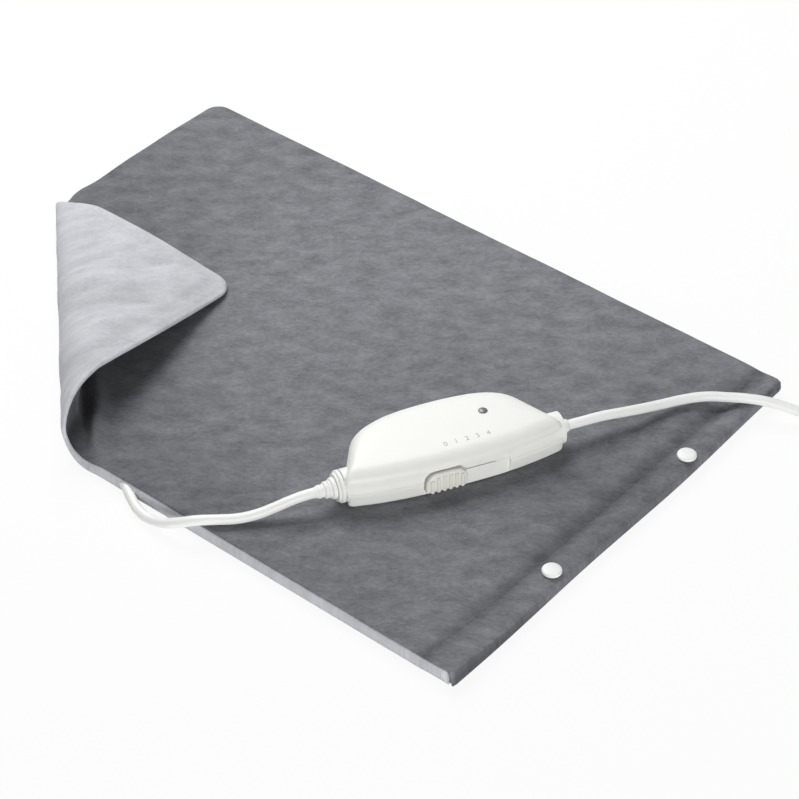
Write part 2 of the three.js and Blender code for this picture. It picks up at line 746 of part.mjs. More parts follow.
// Bowed front, slanting ends and an arched back.
function bodyPlan() {
  const frontHalf = bodyHalf - FRONT_CORNER;
  const frontY = -FRONT_BOW * (1 - (frontHalf / bodyHalf) ** 2);
  const cornerU = bodyHalf + endSlant.x * FRONT_CORNER;
  const cornerV = endSlant.y * FRONT_CORNER;
  const shoulderPull = (BODY_DEPTH - SHOULDER_DEPTH) * SHOULDER_CURVE;
  const pullU = shoulderHalf + endSlant.x * shoulderPull;
  const pullV = SHOULDER_DEPTH + endSlant.y * shoulderPull;
  const backPull = shoulderHalf * BACK_CURVE;
  const shape = new THREE.Shape();
  shape.moveTo(-frontHalf, frontY);
  shape.quadraticCurveTo(0, -2 * FRONT_BOW - frontY, frontHalf, frontY);
  shape.quadraticCurveTo(bodyHalf, 0, cornerU, cornerV);
  shape.lineTo(shoulderHalf, SHOULDER_DEPTH);
  shape.bezierCurveTo(pullU, pullV, backPull, BODY_DEPTH, 0, BODY_DEPTH);
  shape.bezierCurveTo(-backPull, BODY_DEPTH, -pullU, pullV, -shoulderHalf, SHOULDER_DEPTH);
  shape.lineTo(-cornerU, cornerV);
  shape.quadraticCurveTo(-bodyHalf, 0, -frontHalf, frontY);
  return shape;
}

function turnedAlong(profile, direction, sides = 20) {
  const piece = turned(profile, sides).rotateZ((-direction * Math.PI) / 2);
  return solidOf(piece.translate(0, COLLAR_V, PARTING_HEIGHT));
}

function rodAlong(direction, u0, u1, radius) {
  const profile = [
    [0, u0],
    [radius, u0],
    [radius, u1],
    [0, u1],
  ];
  return turnedAlong(profile, direction);
}

const bossPlaces = [
  [-BOSS_FRONT_U, BOSS_FRONT_V],
  [BOSS_FRONT_U, BOSS_FRONT_V],
  [0, BOSS_BACK_V],
];
const ceiling = BODY_HEIGHT - SHELL_WALL;
const recessBack = RECESS_FLOOR_V + RECESS_WALL;
const knobTravel = KNOB_STEPS * KNOB_STEP;
const knobMaxU = KNOB_REST_U + knobTravel;
const knobTop = KNOB_BOTTOM + KNOB_HEIGHT;
const screwHeadTop = SHELL_WALL + SCREW_HEAD_HEIGHT;
const collarInner = bodyHalf - COLLAR_LIP;

// A plate with its upper corners rounded, standing in the plane of the front.
function frontPlate(u0, u1, z0, z1, corner, v0, v1) {
  const shape = new THREE.Shape();
  shape.moveTo(u0, z0);
  shape.lineTo(u1, z0);
  shape.absarc(u1 - corner, z1 - corner, corner, 0, Math.PI / 2);
  shape.absarc(u0 + corner, z1 - corner, corner, Math.PI / 2, Math.PI);
  const options = { depth: v1 - v0, bevelEnabled: false, curveSegments: 5 };
  const plate = new THREE.ExtrudeGeometry(shape, options).rotateX(Math.PI / 2);
  return solidOf(plate.translate(0, v1, 0));
}

function shellBody() {
  const plan = bodyPlan();
  const outer = lofted(
    plan,
    [
      ...roundedEdge(0, BODY_BASE_ROUND),
      [PARTING_HEIGHT, 0],
      ...roundedEdge(BODY_HEIGHT, -BODY_TOP_ROUND, 4).reverse(),
    ],
    7,
  );
  const hollow = lofted(
    plan,
    [
      [SHELL_WALL, SHELL_WALL],
      [PARTING_HEIGHT, SHELL_WALL],
      ...roundedEdge(ceiling, -BODY_TOP_ROUND, 2, SHELL_WALL).reverse(),
    ],
    4,
  );
  const collars = [-1, 1].map((end) => rodAlong(end, collarInner - COLLAR_INSIDE, bodyHalf, COLLAR_RADIUS));
  const pockets = [-1, 1].map((end) => {
    const pocketStart = collarInner - COLLAR_INSIDE - BOOT_FLANGE - CUT_OVERRUN;
    return rodAlong(end, pocketStart, collarInner, BOOT_FLANGE_RADIUS + GAP);
  });
  const bores = [-1, 1].map((end) => {
    return rodAlong(end, collarInner - 2 * CUT_OVERRUN, bodyHalf + CUT_OVERRUN, BOOT_NECK_RADIUS + GAP);
  });
  const slideWall = block(
    KNOB_REST_U - KNOB_WIDTH / 2 - RECESS_MARGIN,
    knobMaxU + KNOB_WIDTH / 2 + RECESS_MARGIN,
    RECESS_FLOOR_V - SHELL_WALL,
    recessBack,
    SHELL_WALL / 2,
    ceiling + SHELL_WALL / 4,
  ).intersect(outer);
  const recess = frontPlate(
    KNOB_REST_U - KNOB_WIDTH / 2 - 2 * GAP,
    knobMaxU + KNOB_WIDTH / 2 + 2 * GAP,
    KNOB_BOTTOM - 2 * GAP,
    knobTop + 2 * GAP,
    KNOB_CORNER,
    -2 * FRONT_BOW,
    RECESS_FLOOR_V,
  );
  const slot = block(
    KNOB_REST_U - STEM_WIDTH / 2 - GAP,
    knobMaxU + STEM_WIDTH / 2 + GAP,
    RECESS_FLOOR_V - CUT_OVERRUN,
    recessBack + CUT_OVERRUN,
    PARTING_HEIGHT - STEM_HEIGHT / 2 - GAP,
    PARTING_HEIGHT + STEM_HEIGHT / 2 + GAP,
  );
  const bosses = bossPlaces.map(([u, v]) => {
    return cylinder(u, v, SHELL_WALL / 2, ceiling + SHELL_WALL / 4, BOSS_RADIUS, 16);
  });
  const screwHoles = bossPlaces.flatMap(([u, v]) => [
    cylinder(u, v, -CUT_OVERRUN, screwHeadTop + GAP, SCREW_HEAD_RADIUS + GAP, 16),
    cylinder(u, v, 0, SHELL_WALL + SCREW_LENGTH + GAP, SCREW_RADIUS + GAP, 12),
  ]);
  const boardPosts = [-1, 1].flatMap((side) => [
    cylinder(side * BOARD_POST_U, BOSS_FRONT_V, SHELL_WALL / 2, BOARD_Z - GAP, BOARD_POST_RADIUS, 10),
    cylinder(side * BOARD_POST_U, BOARD_POST_BACK_V, SHELL_WALL / 2, BOARD_Z - GAP, BOARD_POST_RADIUS, 10),
  ]);
  const lensHole = cylinder(LENS_U, LENS_V, ceiling - CUT_OVERRUN, BODY_HEIGHT + CUT_OVERRUN, LENS_RADIUS + GAP);
  const walls = join(cut(join(outer, ...collars), hollow), ...collars);
  const fitted = join(walls, slideWall, ...bosses, ...boardPosts);
  return cut(fitted, ...pockets, ...bores, recess, slot, ...screwHoles, lensHole);
}

const body = shellBody();
const reach = BODY_LENGTH;
const aboveParting = block(-reach, reach, -reach, reach, PARTING_HEIGHT + GAP / 2, BODY_HEIGHT + CUT_OVERRUN);
const belowParting = block(-reach, reach, -reach, reach, -CUT_OVERRUN, PARTING_HEIGHT - GAP / 2);
addMesh(controller, "controller_top_shell", body.intersect(aboveParting), 0xf7f7f3, 0.4);
addMesh(controller, "controller_bottom_shell", body.intersect(belowParting), 0xf3f3ee, 0.4);

bossPlaces.forEach(([u, v], i) => {
  const profile = [
    [0, SHELL_WALL],
    [SCREW_HEAD_RADIUS, SHELL_WALL],
    [SCREW_HEAD_RADIUS, screwHeadTop],
    [SCREW_RADIUS, screwHeadTop],
    [SCREW_RADIUS, SHELL_WALL + SCREW_LENGTH - SCREW_RADIUS],
    [0, SHELL_WALL + SCREW_LENGTH],
  ];
  addMesh(controller, `shell_screw_${i + 1}`, turnedUpright(profile, u, v, 12), 0xb8babd, 0.35, 1);
});

// Circuit board with its fixed contacts, and the parts soldered to it

const boardTop = BOARD_Z + BOARD_THICKNESS;
const seatZ = boardTop + GAP;
const boardFront = recessBack + 2 * GAP;

function circuitBoard() {
  const shape = polygon([
    [-BOARD_HALF_LENGTH, boardFront],
    [BOARD_HALF_LENGTH, boardFront],
    [BOARD_HALF_LENGTH, BOARD_BACK_V - BOARD_CORNER_CUT],
    [BOARD_HALF_LENGTH - BOARD_CORNER_CUT, BOARD_BACK_V],
    [BOARD_CORNER_CUT - BOARD_HALF_LENGTH, BOARD_BACK_V],
    [-BOARD_HALF_LENGTH, BOARD_BACK_V - BOARD_CORNER_CUT],
  ]);
  const holes = bossPlaces.map(([u, v]) => cylinder(u, v, 0, BODY_HEIGHT, BOSS_RADIUS + 2 * GAP, 16));
  return cut(extruded(shape, BOARD_Z, boardTop), ...holes);
}

function boxOnBoard([length, depth, height], [u, v], corner) {
  const shape = roundedRectangle(-length / 2, length / 2, -depth / 2, depth / 2, corner);
  return extruded(shape, seatZ, seatZ + height, 3).translate([u, v, 0]);
}

const shutterFront = recessBack + GAP;
const carriageFront = shutterFront + SHUTTER_THICKNESS + GAP;
const contactFront = carriageFront + CONTACT_INSET;
const contactBack = carriageFront + CARRIAGE_DEPTH - CONTACT_INSET;

function fixedContacts() {
  const spine = block(
    KNOB_REST_U - STEM_WIDTH / 2,
    knobMaxU + STEM_WIDTH / 2,
    contactBack - CONTACT_SPINE,
    contactBack,
    seatZ,
    seatZ + CONTACT_THICKNESS,
  );
  const fingers = [];
  for (let step = 0; step <= KNOB_STEPS; step += 1) {
    const u = KNOB_REST_U + step * KNOB_STEP;
    const half = KNOB_STEP / 4;
    const fingerBack = contactBack - CONTACT_SPINE / 2;
    fingers.push(block(u - half, u + half, contactFront, fingerBack, seatZ, seatZ + CONTACT_THICKNESS));
  }
  return join(spine, ...fingers);
}

const [triacLength, triacDepth, triacHeight] = TRIAC_SIZE;
const triacTab = boxOnBoard([triacLength, triacDepth / 3, triacHeight], TRIAC_PLACE, 0.3);
const triacBody = boxOnBoard([triacLength, triacDepth, triacHeight * 0.6], TRIAC_PLACE, 0.6);
const fuseProfile = [
  [0, -FUSE_LENGTH / 2],
  [FUSE_RADIUS, -FUSE_LENGTH / 2],
  [FUSE_RADIUS, -FUSE_LENGTH / 3],
  [FUSE_RADIUS * 0.88, -FUSE_LENGTH / 3],
  [FUSE_RADIUS * 0.88, FUSE_LENGTH / 3],
  [FUSE_RADIUS, FUSE_LENGTH / 3],
  [FUSE_RADIUS, FUSE_LENGTH / 2],
  [0, FUSE_LENGTH / 2],
];
const fuse = turned(fuseProfile, 12)
  .rotateZ(-Math.PI / 2)
  .translate(FUSE_PLACE[0], FUSE_PLACE[1], seatZ + FUSE_RADIUS);
addMesh(controller, "circuit_board", circuitBoard(), 0x2f6b3d, 0.5);
addMesh(controller, "fixed_contacts", fixedContacts(), 0xd0b070, 0.3, 1);
addMesh(controller, "capacitor", boxOnBoard(CAPACITOR_SIZE, CAPACITOR_PLACE, 1), 0xc8a63a, 0.45);
addMesh(controller, "triac", join(triacBody, triacTab), 0x2a2a2c, 0.5);
addMesh(controller, "fuse", solidOf(fuse), 0xd9d4c4, 0.3);

// Indicator: a dark lens in the upper shell over a lamp on the board

const lensFlangeTop = ceiling - GAP;
const lensBottom = lensFlangeTop - LENS_FLANGE;
const lampTop = lensBottom - GAP;
const lens = [
  [0, lensBottom],
  [LENS_RADIUS + LENS_FLANGE, lensBottom],
  [LENS_RADIUS + LENS_FLANGE, lensFlangeTop],
  [LENS_RADIUS, lensFlangeTop],
  [LENS_RADIUS, BODY_HEIGHT - LENS_CROWN / 3],
  [LENS_RADIUS * 0.6, BODY_HEIGHT + (2 * LENS_CROWN) / 3],
  [0, BODY_HEIGHT + LENS_CROWN],
];
const lamp = [
  [0, seatZ],
  [LED_RADIUS + LED_RIM, seatZ],
  [LED_RADIUS + LED_RIM, seatZ + LED_RIM_HEIGHT],
  [LED_RADIUS, seatZ + LED_RIM_HEIGHT],
  [LED_RADIUS, lampTop - LED_RADIUS],
  [LED_RADIUS * 0.7, lampTop - LED_RADIUS * 0.3],
  [0, lampTop],
];
addMesh(controller, "indicator_lens", turnedUpright(lens, LENS_U, LENS_V), 0x5a5d60, 0.2);
addMesh(controller, "indicator_lamp", turnedUpright(lamp, LENS_U, LENS_V, 14), 0xe8a23c, 0.3);

// Slide knob, the shutter behind its slot, its contact carriage and the wiper under it

const knobBack = RECESS_FLOOR_V - GAP;
const stemBack = carriageFront + CARRIAGE_DEPTH / 2;
const carriageZ = seatZ + CONTACT_THICKNESS + WIPER_THICKNESS + 2 * GAP;

function slideKnob() {
  const knobFront = knobBack - KNOB_THICKNESS;
  const u0 = KNOB_REST_U - KNOB_WIDTH / 2;
  const plate = frontPlate(u0, u0 + KNOB_WIDTH, KNOB_BOTTOM, knobTop, KNOB_CORNER, knobFront, knobBack);
  const ribs = [];
  const pitch = (KNOB_WIDTH - KNOB_CORNER) / (KNOB_RIBS - 1);
  for (let rib = 0; rib < KNOB_RIBS; rib += 1) {
    const u = u0 + KNOB_CORNER / 2 + rib * pitch;
    const fromMiddle = Math.abs(u - KNOB_REST_U) / (KNOB_WIDTH / 2);
    const height = KNOB_HEIGHT * (1 - KNOB_RIB_FALL * fromMiddle ** 2) - KNOB_RIB_RADIUS;
    ribs.push(cylinder(u, knobFront, KNOB_BOTTOM, KNOB_BOTTOM + height, KNOB_RIB_RADIUS, 10));
  }
  const stem = block(
    KNOB_REST_U - STEM_WIDTH / 2,
    KNOB_REST_U + STEM_WIDTH / 2,
    knobBack - KNOB_THICKNESS / 2,
    stemBack,
    PARTING_HEIGHT - STEM_HEIGHT / 2,
    PARTING_HEIGHT + STEM_HEIGHT / 2,
  );
  return join(plate, ...ribs, stem);
}

// A strip on the stem that keeps the slot shut wherever the knob stands.
function slotShutter() {
  const reachU = knobTravel + STEM_WIDTH / 2 + GAP + SHUTTER_OVERLAP;
  const reachZ = STEM_HEIGHT / 2 + GAP + SHUTTER_OVERLAP;
  const strip = block(
    KNOB_REST_U - reachU,
    KNOB_REST_U + reachU,
    shutterFront,
    shutterFront + SHUTTER_THICKNESS,
    PARTING_HEIGHT - reachZ,
    PARTING_HEIGHT + reachZ,
  );
  const stemHole = block(
    KNOB_REST_U - STEM_WIDTH / 2 - GAP,
    KNOB_REST_U + STEM_WIDTH / 2 + GAP,
    shutterFront - CUT_OVERRUN,
    carriageFront,
    PARTING_HEIGHT - STEM_HEIGHT / 2 - GAP,
    PARTING_HEIGHT + STEM_HEIGHT / 2 + GAP,
  );
  return cut(strip, stemHole);
}

function contactCarriage() {
  const half = CARRIAGE_LENGTH / 2;
  const shape = roundedRectangle(
    KNOB_REST_U - half,
    KNOB_REST_U + half,
    carriageFront,
    carriageFront + CARRIAGE_DEPTH,
    1,
  );
  const socket = block(
    KNOB_REST_U - STEM_WIDTH / 2 - GAP,
    KNOB_REST_U + STEM_WIDTH / 2 + GAP,
    carriageFront - CUT_OVERRUN,
    stemBack + GAP,
    PARTING_HEIGHT - STEM_HEIGHT / 2 - GAP,
    PARTING_HEIGHT + STEM_HEIGHT / 2 + GAP,
  );
  return cut(extruded(shape, carriageZ, carriageZ + CARRIAGE_HEIGHT, 2), socket);
}

function wiperContact() {
  const z0 = seatZ + CONTACT_THICKNESS + GAP;
  const shape = roundedRectangle(
    KNOB_REST_U - CARRIAGE_LENGTH / 3,
    KNOB_REST_U + CARRIAGE_LENGTH / 3,
    contactFront,
    contactBack,
    1,
  );
  const leaf = extruded(shape, z0, z0 + WIPER_THICKNESS, 2);
  const middle = (contactFront + contactBack) / 2;
  const slit = block(
    KNOB_REST_U,
    KNOB_REST_U + CARRIAGE_LENGTH,
    middle - WIPER_SLIT / 2,
    middle + WIPER_SLIT / 2,
    0,
    BODY_HEIGHT,
  );
  return cut(leaf, slit);
}

addMesh(controller, "slide_knob", slideKnob(), 0xf3f2ea, 0.45);
addMesh(controller, "slot_shutter", slotShutter(), 0xf3f2ea, 0.45);
addMesh(controller, "contact_carriage", contactCarriage(), 0x3c3f44, 0.5);
addMesh(controller, "wiper_contact", wiperContact(), 0xcfa85e, 0.3, 1);

// Cord boots, held by their flanges behind the collar lips

function bootRoot() {
  const flangeOuter = collarInner - GAP;
  return [
    [0, flangeOuter - BOOT_FLANGE],
    [BOOT_FLANGE_RADIUS, flangeOuter - BOOT_FLANGE],
    [BOOT_FLANGE_RADIUS, flangeOuter],
    [BOOT_NECK_RADIUS, flangeOuter],
    [BOOT_NECK_RADIUS, bodyHalf + GAP],
  ];
}

const bootTipRadius = CORD_DIAMETER / 2 + BOOT_TIP_WALL;

function ribbedBoot() {
  const profile = bootRoot();
  const start = bodyHalf + GAP;
  const step = PAD_BOOT_LENGTH / PAD_BOOT_RIBS;
  for (let rib = 0; rib < PAD_BOOT_RIBS; rib += 1) {
    const share = rib / (PAD_BOOT_RIBS - 1);
    const radius = COLLAR_RADIUS + (bootTipRadius - COLLAR_RADIUS) * Math.sqrt(share);
    profile.push([radius, start + rib * step]);
    profile.push([radius, start + (rib + 0.62) * step]);
    const grooveRadius = Math.max(radius - BOOT_GROOVE, bootTipRadius - BOOT_GROOVE / 2);
    profile.push([grooveRadius, start + (rib + 0.72) * step]);
    profile.push([grooveRadius, start + (rib + 0.98) * step]);
  }
  profile.push([0, start + (PAD_BOOT_RIBS - 0.02) * step]);
  return profile;
}

function smoothBoot() {
  const start = bodyHalf + GAP;
  return [
    ...bootRoot(),
    [bootTipRadius + BOOT_GROOVE / 2, start],
    [bootTipRadius, start + MAINS_BOOT_LENGTH],
    [0, start + MAINS_BOOT_LENGTH],
  ];
}

addMesh(controller, "pad_cord_boot", turnedAlong(ribbedBoot(), -1, 18), 0xefefea, 0.5);
addMesh(controller, "mains_cord_boot", turnedAlong(smoothBoot(), 1, 18), 0xefefea, 0.5);

// Cords: where each one meets its boot, square to the boot's end
controller.updateMatrixWorld(true);

function besideController(u, distance) {
  const place = new THREE.Vector3(u + Math.sign(u) * distance, COLLAR_V, PARTING_HEIGHT);
  return controller.localToWorld(place).toArray();
}

const padBootEnd = -(bodyHalf + GAP + PAD_BOOT_LENGTH);
const mainsBootEnd = bodyHalf + GAP + MAINS_BOOT_LENGTH;
padCordRoute.push(besideController(padBootEnd, CORD_DIAMETER));
padCordRoute.push(besideController(padBootEnd, GAP));
addMesh(assembly, "pad_cord", cordAlong(padCordRoute), 0xebebe6, 0.45);

// Coil of the put-away length: four layers, spiralling in and out by turns

const turnsPerLayer = COIL_TURNS / COIL_LAYERS;
const coilOuterRadius = COIL_INNER_RADIUS + turnsPerLayer * COIL_PITCH;
const coilBaseZ = TIE_THICKNESS + GAP + CORD_DIAMETER / 2;

function coilPoint(turn) {
  const layer = Math.min(Math.floor(turn / turnsPerLayer), COIL_LAYERS - 1);
  const share = turn / turnsPerLayer - layer;
  const spiral = layer % 2 === 0 ? 1 - share : share;
  const radius = COIL_INNER_RADIUS + (coilOuterRadius - COIL_INNER_RADIUS) * spiral;
  let climbed = 0;
  for (let change = 1; change < COIL_LAYERS; change += 1) {
    climbed += THREE.MathUtils.smoothstep(turn, change * turnsPerLayer - 0.25, change * turnsPerLayer + 0.25);
  }
  const angle = THREE.MathUtils.degToRad(COIL_START_ANGLE) + 2 * Math.PI * turn;
  const x = COIL_X + radius * Math.cos(angle);
  const y = COIL_Y + radius * Math.sin(angle);
  return new THREE.Vector3(x, y, coilBaseZ + climbed * COIL_PITCH);
}

function coilPath() {
  const steps = Math.round(COIL_TURNS * LOOP_STEPS);
  const path = [];
  for (let step = 0; step <= steps; step += 1) {
    path.push(coilPoint((COIL_TURNS * step) / steps));
  }
  const leadIn = path[0].clone().sub(path[1]).setLength(CORD_DIAMETER).add(path[0]);
  const leadOut = path[steps].clone().sub(path[steps - 1]).setLength(CORD_DIAMETER).add(path[steps]);
  return [leadIn, ...path, leadOut];
}

// Least distance between lengths of the coil that lie half a turn or more apart.
function leastCoilGap(path) {
  let least = Infinity;
  for (let i = 0; i < path.length; i += 1) {
    for (let j = i + LOOP_STEPS / 2; j < path.length; j += 1) {
      const chord = new THREE.Line3(path[j - 1], path[j]);
      const nearest = chord.closestPointToPoint(path[i], true, new THREE.Vector3());
      least = Math.min(least, nearest.distanceTo(path[i]));
    }
  }
  return least - CORD_DIAMETER;
}

const coil = coilPath();
console.log(`coil: least gap to itself ${leastCoilGap(coil).toFixed(2)} mm`);
addMesh(assembly, "mains_cord_coil", tubeThrough(coil, CORD_DIAMETER / 2, LOOP_SIDES), 0xebebe6, 0.45);

// Free stretches of the mains lead on either side of the coil

function pastEnd(path, end, distance) {
  const [tip, inner] = end === "start" ? [path[0], path[1]] : path.slice(-2).reverse();
  return tip.clone().sub(inner).setLength(distance).add(tip).toArray();
}

const mainsCordRoute = [
  besideController(mainsBootEnd, GAP),
  besideController(mainsBootEnd, CORD_DIAMETER),
  [150.5, 44.8, 18.7],
  [155.6, 55.3, 17.2],
  [160.4, 66.5, 15.2],
  [164.8, 77.5, 13.4],
  [170, 88, 12.5],
  [177, 97.3, 12.2],
  [185.5, 105, 11.4],
  [194.5, 111.4, 11.1],
  [203.5, 116.8, 10.2],
  [213, 121.6, 8],
  [223, 126, 5.8],
  [234, 130.6, 4.2],
  pastEnd(coil, "start", CORD_DIAMETER * 2),
  pastEnd(coil, "start", GAP),
];
const plugZ = PLUG_THICKNESS / 2;
const plugEntry = [244, 233.5, plugZ];
const mainsTailRoute = [
  pastEnd(coil, "end", GAP),
  pastEnd(coil, "end", CORD_DIAMETER),
  [274.4, 204.5, 19.2],
  [270, 213.3, 15.8],
  [264.4, 221.6, 12],
  [257.6, 228.8, 8.8],
  [plugEntry[0] + 1.5 * CORD_DIAMETER, plugEntry[1], plugZ],
  [plugEntry[0] + GAP, plugEntry[1], plugZ],
];
addMesh(assembly, "mains_cord", cordAlong(mainsCordRoute), 0xebebe6, 0.45);
addMesh(assembly, "mains_cord_tail", cordAlong(mainsTailRoute), 0xebebe6, 0.45);

// A flat tie round the bundle of turns.
function coilTie() {
  const half = CORD_DIAMETER / 2 + GAP;
  const x0 = COIL_INNER_RADIUS - half;
  const x1 = coilOuterRadius + half;
  const z0 = coilBaseZ - half;
  const z1 = coilBaseZ + (COIL_LAYERS - 1) * COIL_PITCH + half;
  const out = TIE_THICKNESS;
  const ring = roundedRectangle(x0 - out, x1 + out, z0 - out, z1 + out, CORD_DIAMETER / 2 + out);
  ring.holes.push(roundedRectangle(x0, x1, z0, z1, CORD_DIAMETER / 2));
  const options = { depth: TIE_WIDTH, bevelEnabled: false, curveSegments: 3 };
  const band = new THREE.ExtrudeGeometry(ring, options).translate(0, 0, -TIE_WIDTH / 2);
  band.rotateX(Math.PI / 2).rotateZ(THREE.MathUtils.degToRad(TIE_ANGLE));
  return solidOf(band.translate(COIL_X, COIL_Y, 0));
}

addMesh(assembly, "coil_tie", coilTie(), 0x2b2b2d, 0.6);

// Flat two-pin plug, lying beside the coil, with its pins pointing along its own +X

const plug = new THREE.Group();
plug.position.set(...plugEntry);
plug.rotation.z = Math.PI;
assembly.add(plug);

const plugBack = PLUG_RELIEF_LENGTH + GAP;
const plugFace = plugBack + PLUG_LENGTH;

function plugRelief() {
  const pitch = PLUG_RELIEF_LENGTH / PLUG_RELIEF_RIBS;
  const profile = [[0, 0]];
  for (let rib = 0; rib < PLUG_RELIEF_RIBS; rib += 1) {
    const share = rib / (PLUG_RELIEF_RIBS - 1);
    const radius = bootTipRadius + (PLUG_RELIEF_RADIUS - bootTipRadius) * share;
    const groove = radius - PLUG_RELIEF_GROOVE;
    const start = rib * pitch;
    profile.push([radius, start], [radius, start + pitch * 0.65]);
    profile.push([groove, start + pitch * 0.72], [groove, start + pitch * 0.95]);
  }
  profile.push([PLUG_RELIEF_RADIUS, PLUG_RELIEF_LENGTH - GAP]);
  profile.push([PLUG_RELIEF_RADIUS, PLUG_RELIEF_LENGTH], [0, PLUG_RELIEF_LENGTH]);
  return solidOf(turned(profile, 16).rotateZ(-Math.PI / 2));
}

function pinRod(y, x0, x1, radius) {
  const rod = new THREE.CylinderGeometry(radius, radius, x1 - x0, 14).rotateZ(Math.PI / 2);
  return solidOf(rod.translate((x0 + x1) / 2, y, 0));
}

function plugBody() {
  const halfNeck = PLUG_NECK_WIDTH / 2 - PLUG_BEVEL;
  const halfFace = PLUG_WIDTH / 2 - PLUG_BEVEL;
  const shape = new THREE.Shape();
  shape.moveTo(plugBack + PLUG_BEVEL, -halfNeck);
  shape.bezierCurveTo(
    plugBack + PLUG_LENGTH * 0.35,
    -halfNeck,
    plugBack + PLUG_LENGTH * 0.35,
    -halfFace,
    plugBack + PLUG_LENGTH * 0.7,
    -halfFace,
  );
  shape.lineTo(plugFace - PLUG_BEVEL, -halfFace);
  shape.lineTo(plugFace - PLUG_BEVEL, halfFace);
  shape.lineTo(plugBack + PLUG_LENGTH * 0.7, halfFace);
  shape.bezierCurveTo(
    plugBack + PLUG_LENGTH * 0.35,
    halfFace,
    plugBack + PLUG_LENGTH * 0.35,
    halfNeck,
    plugBack + PLUG_BEVEL,
    halfNeck,
  );
  const depth = PLUG_THICKNESS - 2 * PLUG_BEVEL;
  const options = {
    depth,
    bevelThickness: PLUG_BEVEL,
    bevelSize: PLUG_BEVEL,
    bevelSegments: 2,
    curveSegments: 5,
  };
  const moulded = solidOf(new THREE.ExtrudeGeometry(shape, options).translate(0, 0, -depth / 2));
  const sockets = [-1, 1].map((side) => {
    return pinRod((side * PIN_SPACING) / 2, plugFace - PIN_ROOT, plugFace + CUT_OVERRUN, PIN_RADIUS + GAP);
  });
  return cut(moulded, ...sockets);
}

function plugPin(side) {
  const root = plugFace - PIN_ROOT + GAP;
  const tip = plugFace + PIN_LENGTH;
  const profile = [
    [0, root],
    [PIN_RADIUS, root],
    [PIN_RADIUS, tip - PIN_RADIUS],
    [PIN_RADIUS * 0.72, tip - PIN_RADIUS * 0.3],
    [0, tip],
  ];
  return solidOf(turned(profile, 14).rotateZ(-Math.PI / 2).translate(0, (side * PIN_SPACING) / 2, 0));
}

addMesh(plug, "plug_strain_relief", plugRelief(), 0xebebe6, 0.5);
addMesh(plug, "plug_body", plugBody(), 0xf0f0ec, 0.4);
addMesh(plug, "plug_pin_1", plugPin(1), 0xc9cacc, 0.25, 1);
addMesh(plug, "plug_pin_2", plugPin(-1), 0xc9cacc, 0.25, 1);

export default assembly;
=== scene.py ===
import math

import bmesh
import bpy
from mathutils import Matrix, Vector, noise
from mathutils.bvhtree import BVHTree
from mathutils.geometry import interpolate_bezier


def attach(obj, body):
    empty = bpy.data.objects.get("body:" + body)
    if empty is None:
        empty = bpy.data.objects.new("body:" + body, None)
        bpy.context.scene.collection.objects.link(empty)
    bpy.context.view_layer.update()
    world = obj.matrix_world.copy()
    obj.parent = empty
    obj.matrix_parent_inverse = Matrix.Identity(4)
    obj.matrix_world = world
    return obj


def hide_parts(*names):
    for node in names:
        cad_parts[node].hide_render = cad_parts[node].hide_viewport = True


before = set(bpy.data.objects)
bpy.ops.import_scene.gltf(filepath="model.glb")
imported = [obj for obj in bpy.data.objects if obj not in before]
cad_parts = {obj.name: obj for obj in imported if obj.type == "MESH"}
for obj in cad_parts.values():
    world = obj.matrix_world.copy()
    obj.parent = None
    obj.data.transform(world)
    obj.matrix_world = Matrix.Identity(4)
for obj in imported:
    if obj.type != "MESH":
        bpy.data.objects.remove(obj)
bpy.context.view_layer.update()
scene = bpy.context.scene
scene.view_settings.view_transform = "Standard"

# Camera: a long lens that looks down over the pad's near corner.
# The pad fills the frame and the mains lead leaves it at the right.
camera_turn, camera_rise = math.radians(40.139), math.radians(39.797)
camera_target, camera_distance = Vector((0.049806, 0.00612, 0)), 1.46598
camera_back = Vector((
    math.sin(camera_turn) * math.cos(camera_rise),
    -math.cos(camera_turn) * math.cos(camera_rise),
    math.sin(camera_rise),
))


def aim(thing, toward):
    thing.rotation_mode = "QUATERNION"
    thing.rotation_quaternion = toward.to_track_quat("-Z", "Y")
    scene.collection.objects.link(thing)


camera = bpy.data.objects.new("camera", bpy.data.cameras.new("camera"))
camera.data.lens = 128.03
camera.data.sensor_width = 36
camera.location = camera_target + camera_back * camera_distance
aim(camera, -camera_back)
scene.camera = camera

# Mains plug: a flat two-pin plug moulded in white plastic on the end of the lead.
# The body is one injection moulding with a shallow finger panel on each flat face.
plug_place = Matrix.Translation((0.244, 0.2335, 0.00685)) @ Matrix.Rotation(math.pi, 4, "Z")
plug_back, plug_face, plug_thickness = 0.0203, 0.0563, 0.0137
plug_neck_half, plug_face_half, plug_round = 0.0075, 0.0175, 0.002
panel_border, panel_slope, panel_depth = 0.0022, 0.0007, 0.0005


def new_piece(name, shape, *materials, sharp=35, place=None):
    if place is not None:
        bmesh.ops.transform(shape, matrix=place, verts=shape.verts)
    mesh = bpy.data.meshes.new(name)
    shape.to_mesh(mesh)
    shape.free()
    for material in materials:
        mesh.materials.append(material)
    mesh.shade_smooth()
    mesh.set_sharp_from_angle(angle=math.radians(sharp))
    piece = bpy.data.objects.new(name, mesh)
    scene.collection.objects.link(piece)
    return piece


def new_material(name):
    material = bpy.data.materials.new(name)
    material.use_nodes = True
    return material, material.node_tree, material.node_tree.nodes["Principled BSDF"]


def feed(node, values):
    for socket, value in values.items():
        if isinstance(value, bpy.types.NodeSocket):
            node.id_data.links.new(value, node.inputs[socket])
        else:
            node.inputs[socket].default_value = value


def add_node(tree, kind, output, values=None, **settings):
    node = tree.nodes.new("ShaderNode" + kind)
    for setting, value in settings.items():
        setattr(node, setting, value)
    feed(node, values or {})
    return node.outputs[output]


